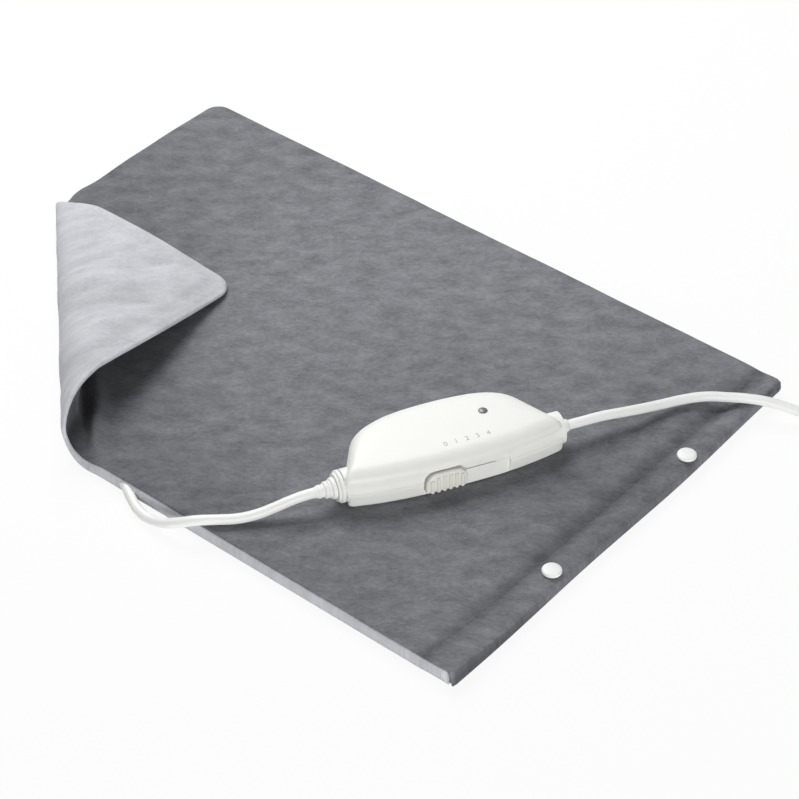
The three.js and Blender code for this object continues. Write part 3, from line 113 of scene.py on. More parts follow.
def add_noise(tree, place, scale, detail, roughness=0.5):
    values = {"Vector": place, "Scale": scale, "Detail": detail, "Roughness": roughness}
    return add_node(tree, "TexNoise", "Fac", values)


def add_range(tree, value, low, high):
    return add_node(tree, "MapRange", "Result", {"Value": value, "To Min": low, "To Max": high})


def add_ramp(tree, share, first, last, *between):
    ramp = tree.nodes.new("ShaderNodeValToRGB")
    stops = ramp.color_ramp.elements
    for stop, (position, colour) in zip(stops, (first, last)):
        stop.position = position
        stop.color = (*colour, 1)
    for position, colour in between:
        stops.new(position).color = (*colour, 1)
    feed(ramp, {"Fac": share})
    return ramp.outputs["Color"]


def toned(colour, factor):
    return [min(part * factor, 1) for part in colour]


def moulded_plastic(name, colour, roughness, mottle=0.03, grain=0.00003, grain_scale=2200):
    material, tree, shader = new_material(name)
    place = add_node(tree, "TexCoord", "Object")
    cloud = add_noise(tree, place, 70, 3)
    skin = add_noise(tree, place, grain_scale, 2)
    dark, light = toned(colour, 1 - mottle), toned(colour, 1 + mottle)
    feed(shader, {
        "Base Color": add_ramp(tree, cloud, (0.3, dark), (0.7, light)),
        "Roughness": add_range(tree, cloud, roughness * 0.9, roughness * 1.1),
        "Normal": add_node(tree, "Bump", "Normal", {"Height": skin, "Strength": 0.5, "Distance": grain}),
    })
    return material


def bezier_row(start, pull_start, pull_end, end, points):
    corners = [Vector((*place, 0)) for place in (start, pull_start, pull_end, end)]
    return [(place.x, place.y) for place in interpolate_bezier(*corners, points)]


def verts_of(made):
    return [part for part in made["geom"] if isinstance(part, bmesh.types.BMVert)]


def raised_outline(outline, low, high):
    shape = bmesh.new()
    base = shape.faces.new([shape.verts.new((x, y, low)) for x, y in outline])
    grown = bmesh.ops.extrude_face_region(shape, geom=[base])
    bmesh.ops.translate(shape, vec=(0, 0, high - low), verts=verts_of(grown))
    bmesh.ops.recalc_face_normals(shape, faces=shape.faces)
    return shape


def soften_edges(shape, width, segments, sharper_than=30):
    crisp = [
        edge for edge in shape.edges
        if len(edge.link_faces) == 2 and edge.calc_face_angle() > math.radians(sharper_than)
    ]
    bmesh.ops.bevel(
        shape, geom=crisp, offset=width, offset_type="OFFSET", segments=segments,
        profile=0.5, affect="EDGES", material=-1,
    )


plug_white = moulded_plastic("plug_plastic", (0.80, 0.80, 0.77), 0.42)
plug_turn_in = plug_back + (plug_face - plug_back) * 0.35
plug_turn_out = plug_back + (plug_face - plug_back) * 0.7
plug_side = bezier_row(
    (plug_back, -plug_neck_half), (plug_turn_in, -plug_neck_half),
    (plug_turn_in, -plug_face_half), (plug_turn_out, -plug_face_half), 14,
)
plug_outline = plug_side + [(plug_face, -plug_face_half), (plug_face, plug_face_half)]
plug_outline += [(x, -y) for x, y in reversed(plug_side)]
plug_shape = raised_outline(plug_outline, -plug_thickness / 2, plug_thickness / 2)
soften_edges(plug_shape, plug_round, 4)
panels = [face for face in plug_shape.faces if abs(face.normal.z) > 0.99 and face.calc_area() > 1e-4]
bmesh.ops.inset_individual(plug_shape, faces=panels, thickness=panel_border)
bmesh.ops.inset_individual(plug_shape, faces=panels, thickness=panel_slope, depth=-panel_depth)
plug_moulding = new_piece("plug_moulding", plug_shape, plug_white, place=plug_place)
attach(plug_moulding, "pad")
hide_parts("plug_body")

# Plug pins: two nickel-plated brass rods held in the moulding.
# Each has a dark insulating sleeve on the half next to the plug's face.
pin_root, pin_sleeve_end, pin_tip = 0.0506, 0.0658, 0.0753
pin_radius, pin_from_middle = 0.002, 0.0093
pin_rows = [
    (pin_root, 0),
    (pin_root, pin_radius),
    (pin_sleeve_end - 0.0002, pin_radius),
    (pin_sleeve_end, pin_radius * 0.93),
    (pin_tip - 0.0018, pin_radius * 0.93),
    (pin_tip - 0.0008, pin_radius * 0.78),
    (pin_tip - 0.0002, pin_radius * 0.45),
    (pin_tip, 0),
]


def brushed_metal(name, colour, roughness, stretch):
    material, tree, shader = new_material(name)
    place = add_node(tree, "TexCoord", "Object")
    stretched = add_node(tree, "Mapping", "Vector", {"Vector": place, "Scale": stretch})
    strokes = add_noise(tree, stretched, 300, 4)
    feed(shader, {
        "Metallic": 1,
        "Base Color": add_ramp(tree, strokes, (0, toned(colour, 0.85)), (1, toned(colour, 1.1))),
        "Roughness": add_range(tree, strokes, roughness * 0.8, roughness * 1.25),
    })
    return material


def turned_round(profile, centre, axis, steps):
    shape = bmesh.new()
    corners = [shape.verts.new(place) for place in profile]
    edges = [shape.edges.new(pair) for pair in zip(corners, corners[1:])]
    bmesh.ops.spin(
        shape, geom=corners + edges, cent=centre, axis=axis, dvec=(0, 0, 0),
        angle=2 * math.pi, steps=steps, use_merge=True, use_duplicate=False,
    )
    bmesh.ops.remove_doubles(shape, verts=shape.verts, dist=1e-6)
    bmesh.ops.recalc_face_normals(shape, faces=shape.faces)
    return shape


def turned_lying(rows, y, z, steps):
    profile = [(along, y + radius, z) for along, radius in rows]
    return turned_round(profile, (0, y, z), (1, 0, 0), steps)


pin_nickel = brushed_metal("pin_nickel", (0.60, 0.60, 0.61), 0.22, (1, 8, 8))
pin_sleeve = moulded_plastic("pin_sleeve", (0.03, 0.03, 0.032), 0.45)
for pin, side in (("1", 1), ("2", -1)):
    pin_shape = turned_lying(pin_rows, side * pin_from_middle, 0, 24)
    for face in pin_shape.faces:
        face.material_index = int(face.calc_center_median().x < pin_sleeve_end)
    plug_pin = new_piece("plug_pin_rod_" + pin, pin_shape, pin_nickel, pin_sleeve, place=plug_place)
    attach(plug_pin, "pad")
    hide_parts("plug_pin_" + pin)

# Plug strain relief: a soft ribbed sleeve between the lead and the plug.
# It is moulded over the cord in a soft white plastic, a little more matt than the plug.
soft_white = moulded_plastic("soft_white", (0.89, 0.89, 0.865), 0.55)
relief_length, relief_ribs = 0.020, 4
relief_tip, relief_root, relief_groove, relief_ease = 0.0034, 0.006, 0.0007, 0.0003
relief_pitch = relief_length / relief_ribs
relief_rows = [(0, 0)]
for rib in range(relief_ribs):
    rib_start = relief_length * rib / relief_ribs
    rib_radius = relief_tip + (relief_root - relief_tip) * rib / (relief_ribs - 1)
    relief_rows += [
        (rib_start + relief_pitch * share, rib_radius - sunk)
        for share, sunk in (
            (0, relief_ease), (0.08, 0), (0.58, 0), (0.66, relief_ease),
            (0.72, relief_groove), (0.95, relief_groove),
        )
    ]
relief_rows += [(relief_length - 0.0002, relief_root), (relief_length, relief_root), (relief_length, 0)]
relief_shape = turned_lying(relief_rows, 0, 0, 28)
plug_relief = new_piece("plug_relief_sleeve", relief_shape, soft_white, sharp=50, place=plug_place)
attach(plug_relief, "pad")
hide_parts("plug_strain_relief")

# Coil tie: a flat black coated-wire strip, wound once round the turns of the lead.
# It closes on itself as a band with rounded corners that holds the turns together.
cord_diameter = 0.0052
coil_centre, coil_start_angle = Vector((0.247, 0.174, 0)), math.radians(-73)
coil_inner, coil_pitch, coil_layers, coil_turns = 0.0215, 0.0058, 4, 9.25
coil_layer_turns = coil_turns / coil_layers
coil_outer = coil_inner + coil_layer_turns * coil_pitch
tie_round, tie_thickness, tie_width, tie_gap = 0.0026, 0.0009, 0.004, 0.0003
tie_turn, tie_corner_steps = math.radians(235), 6
coil_base = tie_thickness + tie_gap + cord_diameter / 2
tie_room = cord_diameter / 2 + tie_gap
tie_low_x, tie_high_x = coil_inner - tie_room, coil_outer + tie_room
tie_low_z = coil_base - tie_room
tie_high_z = coil_base + (coil_layers - 1) * coil_pitch + tie_room
tie_corners = [
    (tie_low_x + tie_round, tie_low_z + tie_round, math.pi),
    (tie_high_x - tie_round, tie_low_z + tie_round, 1.5 * math.pi),
    (tie_high_x - tie_round, tie_high_z - tie_round, 0),
    (tie_low_x + tie_round, tie_high_z - tie_round, 0.5 * math.pi),
]
tie_shape = bmesh.new()
tie_loop = []
for x, z, start in tie_corners:
    for step in range(tie_corner_steps + 1):
        angle = start + step * math.pi / 2 / tie_corner_steps
        tie_loop.append(tie_shape.verts.new((
            x + tie_round * math.cos(angle), -tie_width / 2, z + tie_round * math.sin(angle),
        )))
tie_edges = [tie_shape.edges.new(pair) for pair in zip(tie_loop, tie_loop[1:] + tie_loop[:1])]
tie_made = bmesh.ops.extrude_edge_only(tie_shape, edges=tie_edges)
bmesh.ops.translate(tie_shape, vec=(0, tie_width, 0), verts=verts_of(tie_made))
bmesh.ops.recalc_face_normals(tie_shape, faces=tie_shape.faces)
tie_middle_x = (tie_low_x + tie_high_x) / 2
if sum(face.normal.x * (face.calc_center_median().x - tie_middle_x) for face in tie_shape.faces) < 0:
    bmesh.ops.reverse_faces(tie_shape, faces=tie_shape.faces)
bmesh.ops.solidify(tie_shape, geom=tie_shape.faces, thickness=-tie_thickness)
bmesh.ops.recalc_face_normals(tie_shape, faces=tie_shape.faces)
tie_black = moulded_plastic("tie_black", (0.02, 0.02, 0.022), 0.5)
tie_place = Matrix.Translation(coil_centre) @ Matrix.Rotation(tie_turn, 4, "Z")
tie_strip = new_piece("coil_tie_strip", tie_shape, tie_black, place=tie_place)
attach(tie_strip, "pad")
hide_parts("coil_tie")

# Mains lead: a round two-core cord in a smooth white jacket, from the controller to the plug.
# It lies over the pad's hem and onto the table, and its spare length is wound in a tied coil.
controller_turn = Matrix.Rotation(math.radians(62.25), 4, "Z")
controller_place = Matrix.Translation((0.1198, -0.0319, 0.0093)) @ controller_turn
cord_line_v, cord_line_z = 0.008, 0.010
mains_boot_end, pad_boot_end = 0.0628, -0.0728


def smooth_step(low, high, value):
    share = min(max((value - low) / (high - low), 0), 1)
    return share * share * (3 - 2 * share)


def coil_point(turn):
    layer = min(int(turn / coil_layer_turns), coil_layers - 1)
    share = turn / coil_layer_turns - layer
    spiral = 1 - share if layer % 2 == 0 else share
    radius = coil_inner + (coil_outer - coil_inner) * spiral
    changes = [change * coil_layer_turns for change in range(1, coil_layers)]
    climbed = sum(smooth_step(change - 0.25, change + 0.25, turn) for change in changes)
    angle = coil_start_angle + 2 * math.pi * turn
    flat = Vector((radius * math.cos(angle), radius * math.sin(angle), 0))
    return coil_centre + flat + Vector((0, 0, coil_base + climbed * coil_pitch))


def cord_jacket(name, colour):
    material = moulded_plastic(name, colour, 0.38, mottle=0.02, grain=0.00002, grain_scale=900)
    shader = material.node_tree.nodes["Principled BSDF"]
    feed(shader, {"Subsurface Weight": 0.08, "Subsurface Radius": (0.002, 0.002, 0.0018)})
    return material


def round_line(name, radius, facets, steps, kind, material):
    line = bpy.data.curves.new(name, "CURVE")
    line.dimensions = "3D"
    line.bevel_depth = radius
    line.bevel_resolution = facets
    line.resolution_u = steps
    line.use_fill_caps = True
    line.materials.append(material)
    piece = bpy.data.objects.new(name, line)
    scene.collection.objects.link(piece)
    return piece, line.splines.new(kind)


def cord_through(name, route, material):
    cord, spline = round_line(name, cord_diameter / 2, 4, 5, "BEZIER", material)
    spline.bezier_points.add(len(route) - 1)
    for point, place in zip(spline.bezier_points, route):
        point.co = place
        point.handle_left_type = point.handle_right_type = "AUTO"
    return cord


def on_cord_line(u):
    return controller_place @ Vector((u, cord_line_v, cord_line_z))


cord_white = cord_jacket("cord_jacket", (0.90, 0.90, 0.885))
coil_steps = round(coil_turns * 24)
coil_route = [coil_point(coil_turns * step / coil_steps) for step in range(coil_steps + 1)]
coil_lead_in = coil_route[0] + (coil_route[0] - coil_route[1]).normalized() * 3 * cord_diameter
coil_lead_out = coil_route[-1] + (coil_route[-1] - coil_route[-2]).normalized() * 2 * cord_diameter
mains_route = [
    on_cord_line(mains_boot_end - 0.004),
    on_cord_line(mains_boot_end + cord_diameter),
    (0.1505, 0.0448, 0.0187),
    (0.1556, 0.0553, 0.0172),
    (0.1604, 0.0665, 0.0152),
    (0.1648, 0.0775, 0.0134),
    (0.1700, 0.0880, 0.0125),
    (0.1770, 0.0973, 0.0122),
    (0.1855, 0.1050, 0.0114),
    (0.1945, 0.1114, 0.0111),
    (0.2035, 0.1168, 0.0102),
    (0.2130, 0.1216, 0.0080),
    (0.2230, 0.1260, 0.0058),
    (0.2340, 0.1306, 0.0042),
    coil_lead_in,
    *coil_route,
    coil_lead_out,
    (0.2744, 0.2045, 0.0192),
    (0.2706, 0.2145, 0.0158),
    (0.2655, 0.2236, 0.0120),
    (0.2588, 0.2306, 0.0088),
    (0.2518, 0.2335, 0.00685),
    (0.2405, 0.2335, 0.00685),
]
mains_lead = cord_through("mains_lead", mains_route, cord_white)
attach(mains_lead, "pad")
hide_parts("mains_cord", "mains_cord_coil", "mains_cord_tail")

# Pad cord: the same cord, from the moulding inside the pad to the controller.
# It leaves the pad's front side through a slit, bends on the table and climbs back over the edge.
pad_cord_exit, pad_cord_inside = Vector((-0.006, -0.1373, 0.0045)), 0.0142
pad_cord_heading = Vector((math.cos(math.radians(-27.3)), math.sin(math.radians(-27.3)), 0))
pad_cord_route = [
    pad_cord_exit - pad_cord_heading * pad_cord_inside,
    pad_cord_exit - pad_cord_heading * (pad_cord_inside / 2),
    pad_cord_exit,
    (0.0010, -0.1410, 0.0039),
    (0.0090, -0.1443, 0.0031),
    (0.0180, -0.1456, 0.0035),
    (0.0270, -0.1452, 0.0058),
    (0.0355, -0.1426, 0.0094),
    (0.0430, -0.1380, 0.0119),
    (0.0505, -0.1315, 0.0122),
    (0.0575, -0.1245, 0.0122),
    (0.0635, -0.1170, 0.0134),
    (0.0685, -0.1100, 0.0158),
    (0.0728, -0.1030, 0.0180),
    on_cord_line(pad_boot_end - cord_diameter),
    on_cord_line(pad_boot_end + 0.003),
]
pad_cord = cord_through("pad_cord_run", pad_cord_route, cord_white)
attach(pad_cord, "pad")
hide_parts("pad_cord")

# Upper cover: a panel of dark grey short-pile velour, the top half of the washable cover.
# It is sewn to the lower panel round three sides and folded down over the hem at the fourth.
# Its near left corner is turned over on a cone, tighter at the back than at the front.
pad_half_length, pad_half_width, pad_height = 0.200, 0.137, 0.009
pad_mid_height = pad_height / 2
pad_corner_back, pad_corner_turned, pad_corner_right = 0.009, 0.012, 0.0016
corner_least, corner_turn, corner_most_inset = 0.0003, 0.0030, 0.0025
hem_valley_x, hem_drop, hem_valley_depth, hem_lift = 0.1845, 0.0011, 0.0022, 0.0005
cloth_step, cloth_thickness, upper_inset = 0.002, 0.0009, 0.0010
mouth_ridge, back_dip, rim_pinch = 0.0060, 0.0016, 0.64
back_pinch, back_sag, mouth_sag, mouth_lift, tip_rest = 0.0036, 0.0024, 0.0080, 0.008, 0.0040

fold_back = Vector((-pad_half_length, 0.019, pad_mid_height))
fold_front = Vector((-0.028, -pad_half_width, pad_mid_height))
fold_along = (fold_front - fold_back).normalized()
fold_outward = Vector((fold_along.y, -fold_along.x, 0))
fold_back_radius, fold_front_radius, fold_rest_gap = 0.009, 0.011, 0.0006
fold_sine = (fold_front_radius - fold_back_radius) / (fold_front - fold_back).length
fold_cosine = math.sqrt(1 - fold_sine * fold_sine)
fold_apex = fold_back - fold_along * (fold_back_radius / fold_sine)
fold_axis = fold_along * fold_cosine + Vector((0, 0, fold_sine))
fold_up = Vector((0, 0, fold_cosine)) - fold_along * fold_sine


# A point of the flat pad, wrapped round the cone by up to the given turn and straight beyond it.
def turned_over(flat, turn):
    offset = flat - fold_apex
    sideways = offset.dot(fold_outward)
    if sideways <= 0:
        return flat.copy()
    distance = math.hypot(offset.dot(fold_along), sideways)
    bearing = math.atan2(sideways, offset.dot(fold_along))
    wrap = min(bearing / fold_sine, turn)
    beyond = max(bearing - turn * fold_sine, 0)
    spoke = fold_outward * math.sin(wrap) - fold_up * math.cos(wrap)
    heading = fold_up * math.sin(wrap) + fold_outward * math.cos(wrap)
    ray = fold_axis * fold_cosine + spoke * fold_sine
    normal = fold_axis * fold_sine - spoke * fold_cosine
    on_cone = ray * (distance * math.cos(beyond)) + heading * (distance * math.sin(beyond))
    return fold_apex + on_cone + normal * offset.z


def find_fold_turn():
    reach = pad_corner_back * (1 - math.sqrt(0.5))
    tip = Vector((reach - pad_half_length, reach - pad_half_width, pad_height))
    low, high = math.pi, 1.25 * math.pi
    for _ in range(40):
        middle = (low + high) / 2
        if turned_over(tip, middle).z > pad_height + fold_rest_gap:
            low = middle
        else:
            high = middle
    return low


fold_turn = find_fold_turn()


def past_fold(x, y):
    return (Vector((x, y, pad_mid_height)) - fold_back).dot(fold_outward)


def edge_distance(x, y):
    return max(min(pad_half_width - abs(y), pad_half_length + x), 0)


def fade(low, high, value):
    return 1 - smooth_step(low, high, value)


def rise_and_fade(value, start, full, easing, end):
    return smooth_step(start, full, value) * fade(easing, end, value)


def swell(value, middle, width):
    return math.exp(-((value - middle) / width) ** 2)


def corner_radius(x, y):
    if x > 0:
        return pad_corner_right
    return pad_corner_back if y > 0 else pad_corner_turned


def cloth_grid(inset, step):
    panel = bmesh.new()
    half_x, half_y = pad_half_length - inset, pad_half_width - inset
    bmesh.ops.create_grid(
        panel, x_segments=round(2 * half_x / step), y_segments=round(2 * half_y / step), size=0.5,
    )
    bmesh.ops.scale(panel, vec=(2 * half_x, 2 * half_y, 1), verts=panel.verts)
    for vert in panel.verts:
        x, y = vert.co.x, vert.co.y
        radius = max(corner_radius(x, y) - min(inset, corner_most_inset), corner_least)
        p = (abs(x) - half_x + radius) / radius
        q = (abs(y) - half_y + radius) / radius
        if p > 0 and q > 0:
            vert.co.x = math.copysign(half_x - radius + radius * p * math.sqrt(1 - q * q / 2), x)
            vert.co.y = math.copysign(half_y - radius + radius * q * math.sqrt(1 - p * p / 2), y)
    return panel


def rim_outward(vert):
    radius = max(corner_radius(vert.co.x, vert.co.y), corner_turn)
    inner_x, inner_y = pad_half_length - radius, pad_half_width - radius
    held = Vector((min(max(vert.co.x, -inner_x), inner_x), min(max(vert.co.y, -inner_y), inner_y), 0))
    return (Vector((vert.co.x, vert.co.y, 0)) - held).normalized()


def rim_of(made):
    return [part for part in made["geom"] if isinstance(part, bmesh.types.BMEdge) and part.is_boundary]


def add_rim(panel, steps):
    rim = [edge for edge in panel.edges if edge.is_boundary]
    for out, rise in steps:
        made = bmesh.ops.extrude_edge_only(panel, edges=rim)
        for vert in verts_of(made):
            vert.co += rim_outward(vert) * out
            vert.co.z += rise
        rim = rim_of(made)


def rumple(x, y):
    broad = noise.noise(Vector((x * 16, y * 24, 0.3)))
    middle = noise.noise(Vector((x * 48, y * 60, 4.1)))
    fine = noise.noise(Vector((x * 150, y * 170, 9.7)))
    return 0.00040 * broad + 0.00022 * middle + 0.00006 * fine


def bottom_height(x):
    return hem_lift * smooth_step(hem_valley_x - 0.004, hem_valley_x + 0.006, x)


# Height of the flat pad's top: the hem and its valley, rumples, a ridge beside the fold's front
# mouth, a dip beside its back end, and the rim of the turned-over corner pinched thin.
def top_height(x, y):
    beyond, inset, from_front = past_fold(x, y), edge_distance(x, y), y + pad_half_width
    hem = smooth_step(hem_valley_x - 0.014, hem_valley_x + 0.002, x)
    hem_edge = smooth_step(pad_half_length - 0.0055, pad_half_length, x)
    ends = smooth_step(0.095, 0.132, abs(y))
    front_end = smooth_step(0.095, 0.135, -y)
    height = pad_height - hem * (hem_drop * (1 - ends) - 0.0006 * front_end)
    height -= hem_valley_depth * swell(x, hem_valley_x, 0.0055) * (1 - 0.8 * ends)
    height -= 0.0014 * hem_edge * (1 - ends)
    height -= 0.0001 * math.exp(-inset / 0.004)
    height += rumple(x, y) * (1 - 0.5 * hem) - 0.0002
    ridge_line = -0.0040 + 0.0050 * fade(0, 0.035, from_front)
    ridge = swell(beyond, ridge_line, 0.0046) * fade(0.015, 0.075, from_front)
    height += mouth_ridge * ridge * smooth_step(0.001, 0.012, inset)
    height -= back_dip * swell(beyond, -0.014, 0.012) * fade(0.006, 0.030, x + pad_half_length)
    pinched = smooth_step(-0.006, 0.014, beyond) * fade(0, 0.011, inset)
    low = bottom_height(x)
    return low + (height - low) * (1 - rim_pinch * pinched)


# Where a point of the flat pad ends up: turned over, then eased like soft cloth. The fold's back
# end is pinched and sags, its front mouth lifts and sags, and the tip settles onto the pad.
def settled(flat):
    place = turned_over(flat, fold_turn)
    beyond = past_fold(flat.x, flat.y)
    if beyond <= 0:
        return place
    along, from_front = (place - fold_back).dot(fold_along), flat.y + pad_half_width
    tightness = 1 - min(max(along / 0.21, 0), 1)
    back_end = fade(0.010, 0.060, along)
    mouth = fade(0, 0.09, from_front)
    front_end = fade(0.004, 0.060, from_front)
    tip = smooth_step(0.050, 0.116, beyond)
    near_tip = smooth_step(0.066, 0.102, beyond)
    drawn_in = back_pinch * tightness * rise_and_fade(beyond, 0, 0.014, 0.028, 0.095)
    drawn_down = back_sag * back_end * rise_and_fade(beyond, 0.002, 0.012, 0.019, 0.036)
    drawn_down += mouth_sag * front_end * rise_and_fade(beyond, 0.012, 0.021, 0.023, 0.040)
    drawn_down -= 0.0030 * tip + 0.0048 * near_tip
    squeeze = 0.25 - 0.17 * smooth_step(0.026, 0.042, beyond) + 0.15 * back_end
    squeeze *= tightness * smooth_step(0.006, 0.028, beyond)
    pressed = squeeze * max(place.z - pad_mid_height, 0)
    lift = mouth_lift * mouth * rise_and_fade(beyond, 0.004, 0.030, 0.030, 0.115)
    edge_rest = tip_rest * near_tip * fade(0, 0.014, edge_distance(flat.x, flat.y))
    across = fold_outward * (0.0025 * tip - drawn_in) + fold_along * drawn_down
    return place + across + Vector((0, 0, lift - pressed - edge_rest - 0.002 * tip))


def right_share(vert):
    return smooth_step(pad_half_length - 0.0022, pad_half_length - 0.0006, vert.co.x)


def hem_slant(x, y):
    slant = 0.0006 + 0.0019 * smooth_step(0.02, 0.12, -y) - 0.0028 * smooth_step(0.03, 0.15, y)
    return slant * smooth_step(hem_valley_x + 0.002, pad_half_length - 0.003, x)


# Painted shade on the dark cover: darker away from the middle, in the hem's valley, on the hem's front
# side, in a band by the controller where its shadow falls, near the fold and deep inside it.
def dark_nap(x, y):
    beyond, from_front = past_fold(x, y), y + pad_half_width
    from_middle = math.hypot(x - 0.04, y - 0.03)
    painted_shade = 1 - 0.18 * smooth_step(0.06, 0.22, from_middle) * fade(0.10, 0.19, x)
    painted_shade *= 1 - 0.34 * swell(x, hem_valley_x, 0.0043)
    # Painted shadow of the controller on the cover beside the hem.
    painted_shade *= 1 - 0.23 * smooth_step(0.12, 0.16, x) * swell(y, 0.010, 0.065)
    hem_side = smooth_step(pad_half_length - 0.0008, pad_half_length - 0.0003, x)
    painted_shade *= 1 - 0.55 * hem_side * smooth_step(0.045, 0.100, -y)
    painted_shade *= 1 - 0.16 * swell(beyond, -0.020, 0.060)
    roll_line = 0.0060 + 0.0070 * fade(0, 0.035, from_front)
    # Painted shade in the fold's roll and mouth, standing in for its deep shadow.
    painted_shade *= 1 - 0.6 * swell(beyond, roll_line, 0.0060) * fade(0.030, 0.080, from_front)
    inside = rise_and_fade(beyond, 0.008, 0.016, 0.045, 0.065)
    return painted_shade * (1 - 0.55 * inside * fade(0.030, 0.110, from_front))


# Keeps each vertex's flat place as a UV map, and stores the painted shade given for it per vertex.
def keep_flat_places(panel, nap_and_painted_shade):
    places = panel.loops.layers.uv.new("flat_cloth")
    tones = panel.verts.layers.float.new("nap_and_painted_shade")
    for vert in panel.verts:
        vert[tones] = nap_and_painted_shade(vert.co.x, vert.co.y)
    for face in panel.faces:
        for loop in face.loops:
            loop[places].uv = (loop.vert.co.x, loop.vert.co.y)


def velour(name, deep, colour, bright, sheen, sheen_tint):
    material, tree, shader = new_material(name)
    place = add_node(tree, "UVMap", "UV", uv_map="flat_cloth")
    brushed = add_node(
        tree, "Mapping", "Vector",
        {"Vector": place, "Scale": (1.35, 0.8, 1), "Rotation": (0, 0, math.radians(40))},
        vector_type="TEXTURE",
    )
    patches = add_noise(tree, brushed, 85, 6, 0.7)
    nap_and_painted_shade = add_noise(tree, brushed, 520, 4, 0.7)
    fibres = add_noise(tree, place, 1500, 3)
    mixed = add_node(tree, "Mix", "Result", {"Factor": 0.38, "A": patches, "B": nap_and_painted_shade})
    pile = add_node(tree, "Mix", "Result", {"Factor": 0.5, "A": nap_and_painted_shade, "B": fibres})
    tones = add_ramp(tree, mixed, (0.30, deep), (0.70, bright), (0.5, colour))
    # The colour is scaled by the painted shade stored per vertex on the cloth.
    painted_shade = add_node(tree, "Attribute", "Fac", attribute_name="nap_and_painted_shade")
    feed(shader, {
        "Base Color": add_node(
            tree, "VectorMath", "Vector", {"Vector": tones, "Scale": painted_shade}, operation="SCALE",
        ),
        "Normal": add_node(tree, "Bump", "Normal", {"Height": pile, "Strength": 0.6, "Distance": 0.0005}),
        "Roughness": 0.95,
        "Specular IOR Level": 0.15,
        "Sheen Weight": sheen,
        "Sheen Roughness": 0.45,
        "Sheen Tint": (*sheen_tint, 1),
    })
    return material


def cloth_piece(name, panel, material):
    cloth = new_piece(name, panel, material, sharp=80)
    wall = cloth.modifiers.new("cloth", "SOLIDIFY")
    wall.thickness = cloth_thickness
    wall.offset = -1
    return cloth


dark_velour = velour(
    "dark_velour", (0.108, 0.111, 0.120), (0.206, 0.212, 0.228), (0.309, 0.317, 0.337),
    sheen=0.12, sheen_tint=(0.9, 0.92, 1.0),
)
upper_shape = cloth_grid(upper_inset, cloth_step)
add_rim(upper_shape, [(0.0005, -0.0001), (0.0004, -0.0002), (0.0001, -0.0002)])
keep_flat_places(upper_shape, dark_nap)
for vert in upper_shape.verts:
    x, y = vert.co.x, vert.co.y
    top = top_height(x, y)
    lip_end = 0.0012 + 0.0006 * smooth_step(-0.10, 0, y) + 0.0020 * smooth_step(0.02, 0.137, y)
    lip = right_share(vert) * smooth_step(0, 0.0005, -vert.co.z) * (top - lip_end)
    vert.co.x += hem_slant(x, y)
    vert.co.z += top - lip
    vert.co = settled(vert.co)
upper_cover = cloth_piece("upper_cover", upper_shape, dark_velour)
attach(upper_cover, "pad")
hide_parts("cover_top")

# Lower cover: the light grey velour panel that lies underneath and comes up round the sides.
# The turned-over corner shows it, and at the hem it ends as the lower lip of the opening.
lower_inset, seam_below_top, hem_lip_height, hem_lip_back = 0.0021, 0.0005, 0.0007, 0.0028
lower_rim = [
    (0.0014, 0.0002), (0.0009, 0.0007), (0.0005, 0.0015), (0.0002, 0.0022),
    (-0.0002, 0.0018), (-0.0006, 0.0011), (-0.0011, 0.0004),
]
lower_rim_height = 0.0079


# Soft wrinkles across the turned-over corner, with a low welt along its edge.
def crease(x, y):
    from_back = Vector((x, y, 0)) - fold_back
    long_way, cross_way = from_back.dot(fold_along), from_back.dot(fold_outward)
    soft = noise.noise(Vector((long_way * 52 + cross_way * 12, cross_way * 12, 2.2)))
    tight = noise.noise(Vector((long_way * 120 + cross_way * 30, cross_way * 34, 7.4)))
    inset = edge_distance(x, y)
    folds = smooth_step(0.006, 0.022, inset) * (0.0044 * soft + 0.0017 * tight)
    lip = 0.0006 * swell(inset, 0.0030, 0.0018) - 0.0007 * swell(inset, 0.0090, 0.0035)
    return smooth_step(0.010, 0.040, cross_way) * (folds + lip)


# Painted shade on the light cover: darker in the wrinkles' hollows, lighter on their crests, and painted
# light on the front side.
def light_nap(x, y):
    front_side = smooth_step(pad_half_width - 0.0021, pad_half_width - 0.0008, -y)
    return (1 + 18 * crease(x, y)) * (1 + 0.14 * front_side)


light_velour = velour(
    "light_velour", (0.41, 0.415, 0.441), (0.522, 0.527, 0.556), (0.624, 0.630, 0.661),
    sheen=0.08, sheen_tint=(1.0, 1.0, 1.0),
)
lower_shape = cloth_grid(lower_inset, cloth_step)
bmesh.ops.reverse_faces(lower_shape, faces=lower_shape.faces)
add_rim(lower_shape, lower_rim)
keep_flat_places(lower_shape, light_nap)
for vert in lower_shape.verts:
    x, y = vert.co.x, vert.co.y
    low, share, up = bottom_height(x), right_share(vert), vert.co.z / lower_rim_height
    wall = max(top_height(x, y) - seam_below_top - low, 0.001)
    rise = up * (wall * (1 - share) + hem_lip_height * share)
    vert.co.x += hem_slant(x, y) - hem_lip_back * share
    vert.co.z = low + rise - crease(x, y) * (1 - up)
    vert.co = settled(vert.co)
lower_cover = cloth_piece("lower_cover", lower_shape, light_velour)
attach(lower_cover, "pad")
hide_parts("cover_bottom")

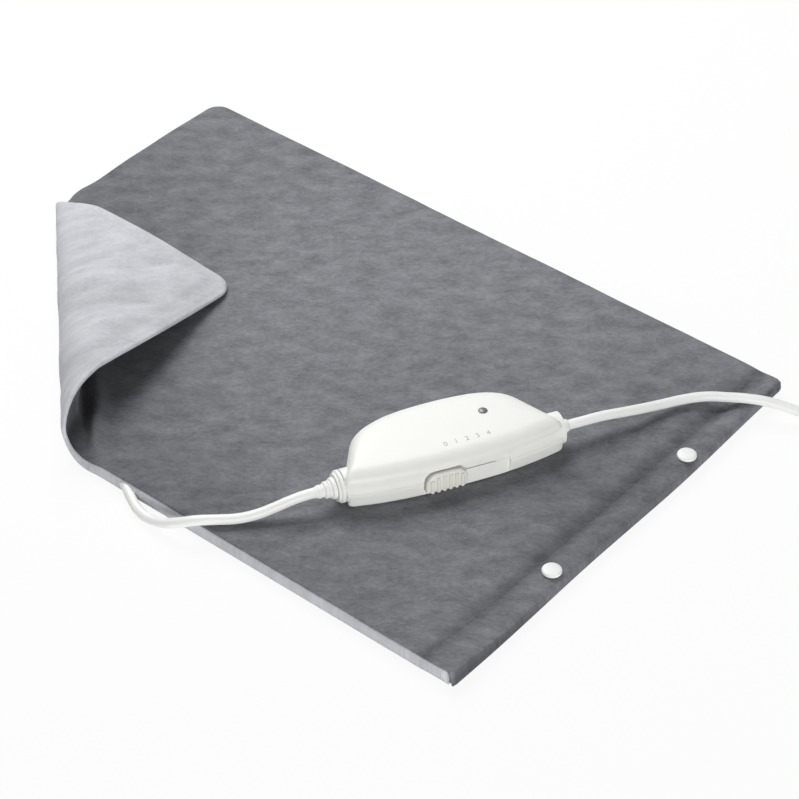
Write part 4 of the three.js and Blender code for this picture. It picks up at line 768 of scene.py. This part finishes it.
# Hem stitching: a row of grey thread that sews the cover's two layers down beside the padding.
# Each stitch is a short sunk loop of thread, pulled into the valley at the hem's inner edge.
stitch_pitch, stitch_length, stitch_width = 0.0034, 0.0012, 0.0002
stitch_margin, stitch_above = 0.005, 0.00012
stitch_size = Matrix.Diagonal((stitch_width, stitch_length, stitch_width, 1))
stitch_shape = bmesh.new()
for number in range(int(2 * (pad_half_width - stitch_margin) / stitch_pitch)):
    stitch_y = -pad_half_width + stitch_margin + number * stitch_pitch
    stitch_z = top_height(hem_valley_x, stitch_y) + stitch_above
    stitch_place = Matrix.Translation((hem_valley_x, stitch_y, stitch_z))
    bmesh.ops.create_icosphere(stitch_shape, subdivisions=1, radius=1, matrix=stitch_place @ stitch_size)
stitch_thread = moulded_plastic("stitch_thread", (0.16, 0.165, 0.177), 0.8, mottle=0.15, grain=0.00005)
hem_stitches = new_piece("hem_stitches", stitch_shape, stitch_thread)
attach(hem_stitches, "pad")

# Press studs: white moulded caps on the hem's upper lip that close the cover's mouth.
# Each cap is domed with a turned rim, and snaps through its spring socket onto a post below.
stud_white = moulded_plastic("stud_white", (0.90, 0.90, 0.89), 0.45)
stud_x, cap_base = 0.194, 0.0078
cap_rows = [
    (0, cap_base - 0.0013),
    (0.0016, cap_base - 0.0013),
    (0.0016, cap_base),
    (0.0047, cap_base),
    (0.0050, cap_base + 0.0003),
    (0.0050, cap_base + 0.0010),
    (0.0048, cap_base + 0.0014),
    (0.0044, cap_base + 0.0017),
    (0.0036, cap_base + 0.0019),
    (0.0024, cap_base + 0.0020),
    (0.0012, cap_base + 0.00205),
    (0, cap_base + 0.00207),
]


def turned_upright(rows, x, y, steps):
    profile = [(x + radius, y, height) for radius, height in rows]
    return turned_round(profile, (x, y, 0), (0, 0, 1), steps)


def colour_node(node, material):
    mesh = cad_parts[node].data
    mesh.materials.clear()
    mesh.materials.append(material)


for stud, stud_y in (("1", 0.0578), ("2", -0.0522)):
    cap_shape = turned_upright(cap_rows, stud_x, stud_y, 40)
    stud_cap = new_piece("stud_dome_" + stud, cap_shape, stud_white, sharp=50)
    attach(stud_cap, "pad")
    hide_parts("stud_cap_" + stud)
    colour_node("stud_socket_" + stud, stud_white)
    colour_node("stud_post_" + stud, stud_white)

# Wadding and carrier sheet: a needled white batt over a thin sheet that the heating wire is sewn to.
# Both are cut a little smaller than the cover and turn over with its corner.
layer_inset, layer_step, layer_end_x = 0.0042, 0.004, 0.1815
batt_low, batt_high, carrier_low, carrier_high = 0.0047, 0.0072, 0.0017, 0.0025
batt_white = moulded_plastic(
    "batt_white", (0.84, 0.83, 0.79), 0.95, mottle=0.08, grain=0.0006, grain_scale=500,
)
sheet_white = moulded_plastic(
    "carrier_white", (0.76, 0.74, 0.68), 0.9, mottle=0.06, grain=0.0002, grain_scale=900,
)


def between_covers(x, y, height):
    low = bottom_height(x) - crease(x, y)
    return Vector((x, y, low + (top_height(x, y) - low) * (height / pad_height)))


def inner_layer(name, low, high, material):
    layer = cloth_grid(layer_inset, layer_step)
    for vert in layer.verts:
        vert.co.x = min(vert.co.x, layer_end_x)
    bmesh.ops.remove_doubles(layer, verts=layer.verts, dist=1e-5)
    grown = bmesh.ops.extrude_face_region(layer, geom=layer.faces[:])
    bmesh.ops.translate(layer, vec=(0, 0, high - low), verts=verts_of(grown))
    bmesh.ops.translate(layer, vec=(0, 0, low), verts=layer.verts)
    bmesh.ops.recalc_face_normals(layer, faces=layer.faces)
    for vert in layer.verts:
        vert.co = settled(between_covers(*vert.co))
    return new_piece(name, layer, material, sharp=60)


wadding_batt = inner_layer("wadding_batt", batt_low, batt_high, batt_white)
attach(wadding_batt, "pad")
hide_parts("wadding")
carrier_cloth = inner_layer("carrier_cloth", carrier_low, carrier_high, sheet_white)
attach(carrier_cloth, "pad")
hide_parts("carrier_sheet")

# Heating wire: one resistance wire in a soft red-brown sheath, sewn to and fro over the carrier sheet.
# It starts and ends at the cord's moulding and comes back along the hem.
wire_height, wire_radius, wire_bend, wire_step = 0.0036, 0.0008, 0.011, 0.005
wire_left, wire_right, wire_return_x = -0.169, 0.163, 0.167
wire_first_y, wire_return_y, wire_runs = -0.105, -0.110, 10


def wire_bow(x, y, start, end):
    angles = [start + (end - start) * step / 8 for step in range(9)]
    return [(x + wire_bend * math.cos(angle), y + wire_bend * math.sin(angle)) for angle in angles]


def wire_plan():
    plan = [(-0.0364, -0.1257), (-0.0393, -0.1243), (-0.060, wire_first_y)]
    for run in range(wire_runs - 1):
        bow_y = wire_first_y + (2 * run + 1) * wire_bend
        if run % 2 == 0:
            plan += wire_bow(wire_left, bow_y, 1.5 * math.pi, 0.5 * math.pi)
        else:
            plan += wire_bow(wire_right, bow_y, -0.5 * math.pi, 0.5 * math.pi)
    last_y = wire_first_y + 2 * (wire_runs - 1) * wire_bend
    plan += wire_bow(wire_return_x, last_y - wire_bend, 0.5 * math.pi, 0)
    plan += wire_bow(wire_return_x, wire_return_y + wire_bend, 0, -0.5 * math.pi)
    return plan + [(-0.022, wire_return_y), (-0.0365, -0.1190), (-0.0336, -0.1204)]


wire_sheath = moulded_plastic("wire_sheath", (0.42, 0.15, 0.11), 0.6, mottle=0.08)
wire_corners = [Vector((*corner, 0)) for corner in wire_plan()]
wire_places = []
for start, end in zip(wire_corners, wire_corners[1:]):
    parts = max(round((end - start).length / wire_step), 1)
    wire_places += [start.lerp(end, step / parts) for step in range(parts)]
wire_places.append(wire_corners[-1])
sewn_wire, wire_spline = round_line("sewn_wire", wire_radius, 2, 12, "POLY", wire_sheath)
wire_spline.points.add(len(wire_places) - 1)
for point, flat in zip(wire_spline.points, wire_places):
    point.co = (*settled(between_covers(flat.x, flat.y, wire_height)), 1)
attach(sewn_wire, "pad")
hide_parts("heating_wire")

# Cut-outs and cord moulding: small plastic bodies between the pad's layers.
# The cut-outs are clipped over the wire, and the moulding grips the cord's end.
cutout_case = moulded_plastic("cutout_case", (0.05, 0.05, 0.06), 0.5)
colour_node("thermal_cutout_1", cutout_case)
colour_node("thermal_cutout_2", cutout_case)
colour_node("cord_moulding", soft_white)

# Controller case: two hollow white mouldings that meet on a level line and are screwed from below.
# The front is bowed, the ends slant, the back is an arch, and a recess in the front guides the slide.
body_half, shoulder_half, shoulder_depth, body_depth = 0.0585, 0.045, 0.027, 0.043
body_height, parting_height, parting_gap = 0.0216, 0.010, 0.00004
front_bow, front_corner = 0.006, 0.005
base_round, top_round, case_wall = 0.002, 0.0085, 0.002
collar_radius, cord_bore = 0.0083, 0.0043
knob_rest, knob_travel, knob_width = -0.0089, 0.0232, 0.022
knob_low, knob_high, knob_corner = 0.0040, 0.0145, 0.006
slot_floor, slot_roof, slot_spare = 0.0097, 0.0103, 0.0043
recess_floor, recess_low, recess_high, recess_gap = -0.0034, -0.0010, 0.0151, 0.0006
slide_wall_sink, slide_wall_side = 0.0003, 0.004
end_slant = Vector((shoulder_half - body_half, shoulder_depth)).normalized()
quarter_turn = Matrix.Rotation(math.pi / 2, 4, "X")


def case_plan():
    front_half = body_half - front_corner
    front_v = -front_bow * (1 - (front_half / body_half) ** 2)
    bow_v = (-2 * front_bow - front_v) * 2 / 3 + front_v / 3
    corner = (body_half + end_slant.x * front_corner, end_slant.y * front_corner)
    shoulder = (shoulder_half, shoulder_depth)
    pull = (body_depth - shoulder_depth) * 0.85
    pulled = (shoulder_half + end_slant.x * pull, shoulder_depth + end_slant.y * pull)
    front = bezier_row(
        (0, -front_bow), (front_half * 0.33, -front_bow),
        (front_half * 0.67, bow_v * 0.62 + front_v * 0.38), (front_half, front_v), 22,
    )
    turn = bezier_row(
        (front_half, front_v), (body_half - 0.0015, front_v * 0.35), (body_half, 0.0006), corner, 8,
    )
    slant = [
        tuple(low + (high - low) * step / 8 for low, high in zip(corner, shoulder))
        for step in range(1, 8)
    ]
    arch = bezier_row(shoulder, pulled, (shoulder_half * 0.58, body_depth), (0, body_depth), 26)
    half = front + turn[1:] + slant + arch
    return half + [(-u, v) for u, v in reversed(half[1:-1])]


# A body on the case's plan, ring by ring: each level gives a height and how far its ring is drawn in.
def case_form(levels):
    middle_v = (body_depth - front_bow) / 2
    half_v = (body_depth + front_bow) / 2
    before_z, before = levels[0]
    form = bmesh.new()
    form.faces.new([
        form.verts.new((
            u * (1 - before / body_half), middle_v + (v - middle_v) * (1 - before / half_v), before_z,
        ))
        for u, v in case_plan()
    ])
    rim = form.edges[:]
    for level_z, inset in levels[1:]:
        made = bmesh.ops.extrude_edge_only(form, edges=rim)
        raised, rim = verts_of(made), rim_of(made)
        bmesh.ops.translate(form, vec=(0, 0, level_z - before_z), verts=raised)
        bmesh.ops.scale(
            form, verts=raised, space=Matrix.Translation((0, -middle_v, 0)),
            vec=((body_half - inset) / (body_half - before), (half_v - inset) / (half_v - before), 1),
        )
        before_z, before = level_z, inset
    bmesh.ops.edgeloop_fill(form, edges=rim)
    bmesh.ops.recalc_face_normals(form, faces=form.faces)
    return form


def quarter_round(face, rise, steps, wall_inset=0.0):
    levels = []
    for step in range(steps + 1):
        angle = step / steps * math.pi / 2
        inset = wall_inset + abs(rise) * (1 - math.sin(angle))
        levels.append((face + rise * (1 - math.cos(angle)), inset))
    return levels


def front_plate(u0, u1, z0, z1, corner, v0, v1):
    outline = [(u0, z0), (u1, z0)]
    for centre_u, start in ((u1 - corner, 0), (u0 + corner, math.pi / 2)):
        for step in range(11):
            angle = start + step / 10 * math.pi / 2
            outline.append((centre_u + corner * math.cos(angle), z1 - corner + corner * math.sin(angle)))
    plate = raised_outline(outline, -v1, -v0)
    bmesh.ops.rotate(plate, cent=(0, 0, 0), matrix=quarter_turn, verts=plate.verts)
    return plate


def box_form(u0, u1, v0, v1, z0, z1):
    form = bmesh.new()
    middle = Matrix.Translation(((u0 + u1) / 2, (v0 + v1) / 2, (z0 + z1) / 2))
    size = Matrix.Diagonal((u1 - u0, v1 - v0, z1 - z0, 1))
    bmesh.ops.create_cube(form, size=1, matrix=middle @ size)
    return form


def rod_form(u0, u1, radius):
    form = bmesh.new()
    middle = Matrix.Translation(((u0 + u1) / 2, cord_line_v, cord_line_z))
    bmesh.ops.create_cone(
        form, cap_ends=True, segments=40, radius1=radius, radius2=radius, depth=abs(u1 - u0),
        matrix=middle @ Matrix.Rotation(math.pi / 2, 4, "Y"),
    )
    return form


def carved(form, steps):
    work = new_piece("case_work", form)
    tools = []
    for operation, tool_form in steps:
        tool = new_piece("case_tool", tool_form)
        tools.append(tool)
        carve = work.modifiers.new("carve", "BOOLEAN")
        carve.operation = operation
        carve.solver = "EXACT"
        carve.object = tool
    result = bmesh.new()
    result.from_object(work, bpy.context.evaluated_depsgraph_get())
    for used in [work, *tools]:
        bpy.data.meshes.remove(used.data)
    return result


case_levels = quarter_round(0, base_round, 4)
case_levels += [(0.003 + 0.0009 * step, 0) for step in range(11)]
case_levels += list(reversed(quarter_round(body_height, -top_round, 12)))
case_levels += [
    (body_height + crown, inset)
    for crown, inset in ((0.00016, 0.0105), (0.00026, 0.0135), (0.0003, 0.0175))
]


# The outer form with its finish: a waist over a ledge on the front, the foot cut under, and the
# left end standing out near the top.
def case_skin():
    skin = case_form(case_levels)
    for vert in skin.verts:
        facing = fade(0.001, 0.010, vert.co.y)
        ledge = 0.5 + 0.5 * smooth_step(0.018, 0.034, vert.co.x)
        waist = swell(vert.co.z, 0.0138, 0.0028)
        lip = swell(vert.co.z, 0.0088, 0.0024)
        under = max(1 - vert.co.z / 0.0110, 0) ** 2
        vert.co.y += facing * (ledge * (0.0017 * waist - 0.0005 * lip) + 0.0016 * under)
        left_end = smooth_step(0.028, 0.046, -vert.co.x)
        vert.co.x -= 0.0024 * left_end * smooth_step(0.004, 0.013, vert.co.z)
    return skin


hollow_levels = [(case_wall, case_wall), (parting_height, case_wall)]
hollow_levels += list(reversed(quarter_round(body_height - case_wall, -top_round, 4, case_wall)))
collar_inner = body_half - 0.0045
slide_low, slide_high = knob_rest - knob_width / 2, knob_rest + knob_travel + knob_width / 2
slot_low, slot_high = knob_rest - slot_spare, knob_rest + knob_travel + slot_spare
slide_wall = carved(
    box_form(
        slide_low - slide_wall_side, slide_high + slide_wall_side,
        recess_floor - 0.002, 0.0006 - slide_wall_sink, 0.0012, 0.0190,
    ),
    [("INTERSECT", case_skin())],
)
bmesh.ops.translate(slide_wall, vec=(0, slide_wall_sink, 0), verts=slide_wall.verts)
case_whole = carved(case_skin(), [
    ("UNION", rod_form(collar_inner - 0.008, body_half, collar_radius)),
    ("UNION", rod_form(-body_half, 0.008 - collar_inner, collar_radius)),
    ("DIFFERENCE", case_form(hollow_levels)),
    ("UNION", slide_wall),
    ("DIFFERENCE", front_plate(
        slide_low - recess_gap, slide_high + recess_gap,
        recess_low, recess_high, knob_corner, -0.012, recess_floor,
    )),
    ("DIFFERENCE", box_form(slot_low, slot_high, recess_floor - 0.001, 0.0016, slot_floor, slot_roof)),
    ("DIFFERENCE", rod_form(collar_inner - 0.012, body_half + 0.001, cord_bore)),
    ("DIFFERENCE", rod_form(-body_half - 0.001, 0.012 - collar_inner, cord_bore)),
])


def case_half(keep_upper):
    half = case_whole.copy()
    cut_z = parting_height + (parting_gap if keep_upper else -parting_gap)
    cut = bmesh.ops.bisect_plane(
        half, geom=half.verts[:] + half.edges[:] + half.faces[:], dist=1e-7,
        plane_co=(0, 0, cut_z), plane_no=(0, 0, 1), clear_inner=keep_upper, clear_outer=not keep_upper,
    )
    rim = [part for part in cut["geom_cut"] if isinstance(part, bmesh.types.BMEdge)]
    bmesh.ops.triangle_fill(half, use_beauty=True, edges=rim)
    bmesh.ops.dissolve_degenerate(half, dist=2e-6, edges=half.edges)
    bmesh.ops.triangulate(half, faces=half.faces)
    bmesh.ops.dissolve_degenerate(half, dist=2e-6, edges=half.edges)
    bmesh.ops.transform(half, matrix=controller_place, verts=half.verts)
    bmesh.ops.recalc_face_normals(half, faces=half.faces)
    return half


case_white = moulded_plastic("case_white", (0.85, 0.854, 0.818), 0.45, mottle=0.015, grain=0.000012)
upper_case = new_piece("upper_case", case_half(True), case_white, sharp=30)
lower_case = new_piece("lower_case", case_half(False), case_white, sharp=30)
for case_piece, case_node in (
    (upper_case, "controller_top_shell"),
    (lower_case, "controller_bottom_shell"),
):
    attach(case_piece, "pad")
    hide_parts(case_node)

# Heat scale: small grey numerals printed on the case above the slide, one for each step.
# They are pad-printed ink, a hair proud of the plastic.
scale_print = moulded_plastic("scale_print", (0.42, 0.42, 0.42), 0.6, mottle=0.1)
numeral_height, numeral_proud, print_drop = 0.0042, 0.00004, 0.030
numeral_first_u, numeral_pitch, numeral_v = -0.0049, 0.00573, 0.0050
case_surface = BVHTree.FromObject(upper_case, bpy.context.evaluated_depsgraph_get())
scale_marks = bmesh.new()
for step in range(5):
    numeral = bpy.data.curves.new("numeral", "FONT")
    numeral.body = str(step)
    numeral.size = numeral_height
    numeral.extrude = numeral_proud
    numeral.align_x = "CENTER"
    numeral.align_y = "CENTER"
    figure = bpy.data.objects.new("numeral", numeral)
    scene.collection.objects.link(figure)
    figure_mesh = bpy.data.meshes.new_from_object(figure)
    figure_place = Matrix.Translation((numeral_first_u + numeral_pitch * step, numeral_v, print_drop))
    figure_mesh.transform(controller_place @ figure_place)
    scale_marks.from_mesh(figure_mesh)
    bpy.data.objects.remove(figure)
    bpy.data.meshes.remove(figure_mesh)
for vert in scale_marks.verts:
    landing = case_surface.ray_cast(vert.co, Vector((0, 0, -1)))[0]
    vert.co.z += landing.z - (controller_place.translation.z + print_drop)
heat_scale = new_piece("heat_scale", scale_marks, scale_print)
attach(heat_scale, "pad")

# Indicator lens: a small smoked button in the upper case, over a lamp on the board.
# It is a round translucent moulding, pushed in from inside, and stands a hair proud of its seat.
lens_u, lens_v, lens_radius = 0.0221, 0.0214, 0.0024
lens_foot, lens_seat = 0.0181, 0.0219
lens_smoke = moulded_plastic("lens_smoke", (0.13, 0.135, 0.14), 0.2, mottle=0.1)
lens_rows = [
    (0, lens_foot),
    (lens_radius, lens_foot),
    (lens_radius, lens_seat),
    (lens_radius * 0.93, lens_seat + 0.0002),
    (lens_radius * 0.7, lens_seat + 0.0004),
    (lens_radius * 0.35, lens_seat + 0.0005),
    (0, lens_seat + 0.00055),
]
lens_shape = turned_upright(lens_rows, lens_u, lens_v, 32)
lens_button = new_piece("lens_button", lens_shape, lens_smoke, sharp=45, place=controller_place)
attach(lens_button, "pad")
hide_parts("indicator_lens")

# Slide knob: an ivory-white finger slide with upright ribs, in the recess at the front.
# One moulding with a stem through the slot, which carries the moving contact inside.
knob_ivory = moulded_plastic("knob_ivory", (0.79, 0.79, 0.715), 0.42, mottle=0.02)
knob_back, knob_front = -0.0037, -0.0076
knob_ribs, knob_rib_radius = 6, 0.0011
stem_width, stem_length, stem_thickness = 0.008, 0.0110, 0.0005
knob_shape = front_plate(
    knob_rest - knob_width / 2, knob_rest + knob_width / 2, knob_low, knob_high,
    knob_corner, knob_front, knob_back,
)
soften_edges(knob_shape, 0.0007, 3, 40)
first_rib_u = knob_rest - (knob_width - knob_corner) / 2
for rib in range(knob_ribs):
    rib_u = first_rib_u + rib * (knob_width - knob_corner) / (knob_ribs - 1)
    from_middle = abs(rib_u - knob_rest) / (knob_width / 2)
    rib_height = (knob_high - knob_low) * (1 - 0.25 * from_middle ** 2) - knob_rib_radius
    rib_shape = bmesh.new()
    bmesh.ops.create_cone(
        rib_shape, cap_ends=True, segments=20, radius1=knob_rib_radius, radius2=knob_rib_radius,
        depth=rib_height, matrix=Matrix.Translation((rib_u, knob_front, knob_low + rib_height / 2)),
    )
    soften_edges(rib_shape, 0.0006, 3, 60)
    rib_mesh = bpy.data.meshes.new("rib")
    rib_shape.to_mesh(rib_mesh)
    rib_shape.free()
    knob_shape.from_mesh(rib_mesh)
    bpy.data.meshes.remove(rib_mesh)
stem_place = Matrix.Translation((knob_rest, 0, parting_height))
stem_size = Matrix.Diagonal((stem_width, stem_length, stem_thickness, 1))
bmesh.ops.create_cube(knob_shape, size=1, matrix=stem_place @ stem_size)
finger_slide = new_piece("finger_slide", knob_shape, knob_ivory, sharp=45, place=controller_place)
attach(finger_slide, "slider")
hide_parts("slide_knob")

# Cord boots: soft white sleeves that are held behind the case's collars and grip the cords.
# The one towards the pad is ribbed, the one towards the mains is short and smooth.
boot_tip, boot_flange, boot_neck, boot_ribs = 0.0034, 0.0065, 0.0040, 4
boot_start, rib_pitch, rib_ease = body_half + 0.0003, 0.0035, 0.0004
flange_outer = collar_inner - 0.0003
flange_inner = flange_outer - 0.003
boot_root = [
    (flange_inner, 0),
    (flange_inner, boot_flange),
    (flange_outer, boot_flange),
    (flange_outer, boot_neck),
    (boot_start, boot_neck),
]
ribbed = list(boot_root)
for rib in range(boot_ribs):
    rib_radius = collar_radius + (boot_tip - collar_radius) * math.sqrt(rib / (boot_ribs - 1))
    groove = max(rib_radius - 0.001, boot_tip - 0.0005)
    here = boot_start + rib * rib_pitch
    ribbed += [
        (here, rib_radius - rib_ease),
        (here + 0.0004, rib_radius),
        (here + 0.0018, rib_radius),
        (here + 0.0022, rib_radius - rib_ease),
        (here + 0.0025, groove),
        (here + 0.0034, groove),
    ]
ribbed += [(boot_start + 0.01393, 0)]
plain = boot_root + [
    (boot_start, boot_tip + 0.0005),
    (boot_start + 0.0012, boot_tip + 0.0003),
    (boot_start + 0.0028, boot_tip),
    (boot_start + 0.0037, boot_tip - 0.0003),
    (boot_start + 0.004, boot_tip - 0.0006),
    (boot_start + 0.004, 0),
]
for boot_name, boot_node, boot_rows, end in (
    ("pad_side_boot", "pad_cord_boot", ribbed, -1),
    ("mains_side_boot", "mains_cord_boot", plain, 1),
):
    rows = [(end * along, radius) for along, radius in boot_rows]
    boot_shape = turned_lying(rows, cord_line_v, cord_line_z, 36)
    boot = new_piece(boot_name, boot_shape, soft_white, sharp=40, place=controller_place)
    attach(boot, "pad")
    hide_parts(boot_node)

# Inside the controller: screws, board, contacts and the parts soldered on, sealed in the case.
# Zinc-plated screws, a green board, brass contacts, a film capacitor, a triac, a fuse and a lamp.
zinc = brushed_metal("zinc", (0.50, 0.50, 0.51), 0.35, (1, 1, 6))
contact_brass = brushed_metal("contact_brass", (0.68, 0.50, 0.22), 0.3, (6, 1, 1))
board_green = moulded_plastic("board_green", (0.03, 0.15, 0.05), 0.45, mottle=0.2, grain=0.00005)
capacitor_yellow = moulded_plastic("capacitor_yellow", (0.58, 0.38, 0.05), 0.45, mottle=0.05)
case_black = moulded_plastic("case_black", (0.03, 0.03, 0.03), 0.5)
fuse_ceramic = moulded_plastic("fuse_ceramic", (0.70, 0.66, 0.56), 0.3, mottle=0.05)
lamp_amber = moulded_plastic("lamp_amber", (0.80, 0.36, 0.05), 0.2, mottle=0.05)
for node, material in (
    ("shell_screw_1", zinc), ("shell_screw_2", zinc), ("shell_screw_3", zinc),
    ("circuit_board", board_green), ("fixed_contacts", contact_brass),
    ("wiper_contact", contact_brass), ("contact_carriage", case_black), ("slot_shutter", knob_ivory),
    ("capacitor", capacitor_yellow), ("triac", case_black), ("fuse", fuse_ceramic),
    ("indicator_lamp", lamp_amber),
):
    colour_node(node, material)

# Floor: a wide white table top under the pad, plain and matt.
# The camera sees it nearly white, with the pad's soft shadow left in it.
floor_half, floor_height, floor_glow_share = 4, -0.0004, 0.92


def seen_directly(tree):
    path = tree.nodes.new("ShaderNodeLightPath").outputs
    rays = path["Is Camera Ray"]
    for ray in ("Is Glossy Ray", "Is Transmission Ray"):
        rays = add_node(tree, "Math", "Value", {0: rays, 1: path[ray]}, operation="MAXIMUM")
    return rays


floor_shape = bmesh.new()
bmesh.ops.create_grid(floor_shape, x_segments=1, y_segments=1, size=floor_half)
bmesh.ops.translate(floor_shape, vec=(0, 0, floor_height), verts=floor_shape.verts)
floor_white, floor_tree = new_material("floor_white")[:2]
floor_tree.nodes.clear()
floor_matt = add_node(floor_tree, "BsdfDiffuse", "BSDF", {"Color": (0.86, 0.86, 0.86, 1)})
floor_glow = add_node(floor_tree, "Emission", "Emission", {"Color": (1, 1, 1, 1), "Strength": 1})
floor_share = add_node(
    floor_tree, "Math", "Value", {0: seen_directly(floor_tree), 1: floor_glow_share},
    operation="MULTIPLY",
)
floor_mix = add_node(floor_tree, "MixShader", "Shader", {"Fac": floor_share, 1: floor_matt, 2: floor_glow})
feed(floor_tree.nodes.new("ShaderNodeOutputMaterial"), {"Surface": floor_mix})
floor = new_piece("floor", floor_shape, floor_white)

# Light: a wide soft box above and behind the pad, a farther one low at the front, and a white room.
# Together they light a level surface so that a colour shows about as it is written.
room_lit, room_seen = 0.15, 1.0
room = bpy.data.worlds.new("room")
scene.world = room
room.use_nodes = True
room_level = add_range(room.node_tree, seen_directly(room.node_tree), room_lit, room_seen)
feed(room.node_tree.nodes["Background"], {"Color": (1, 1, 1, 1), "Strength": room_level})
away = Vector((-math.sin(camera_turn), math.cos(camera_turn), 0))
leftward = Vector((-math.cos(camera_turn), -math.sin(camera_turn), 0))
for lamp_name, lamp_from, lamp_power, lamp_size in (
    ("soft_box", Vector((0, 0, 0.85)) + away * 0.58 + leftward * 0.22, 12.5, 0.7),
    ("front_fill", Vector((0, 0, 0.16)) - away * 1.6 - leftward * 0.4, 24, 0.9),
):
    lamp_data = bpy.data.lights.new(lamp_name, "AREA")
    lamp_data.energy = lamp_power
    lamp_data.size = lamp_size
    lamp = bpy.data.objects.new(lamp_name, lamp_data)
    lamp.location = lamp_from
    aim(lamp, -lamp_from)
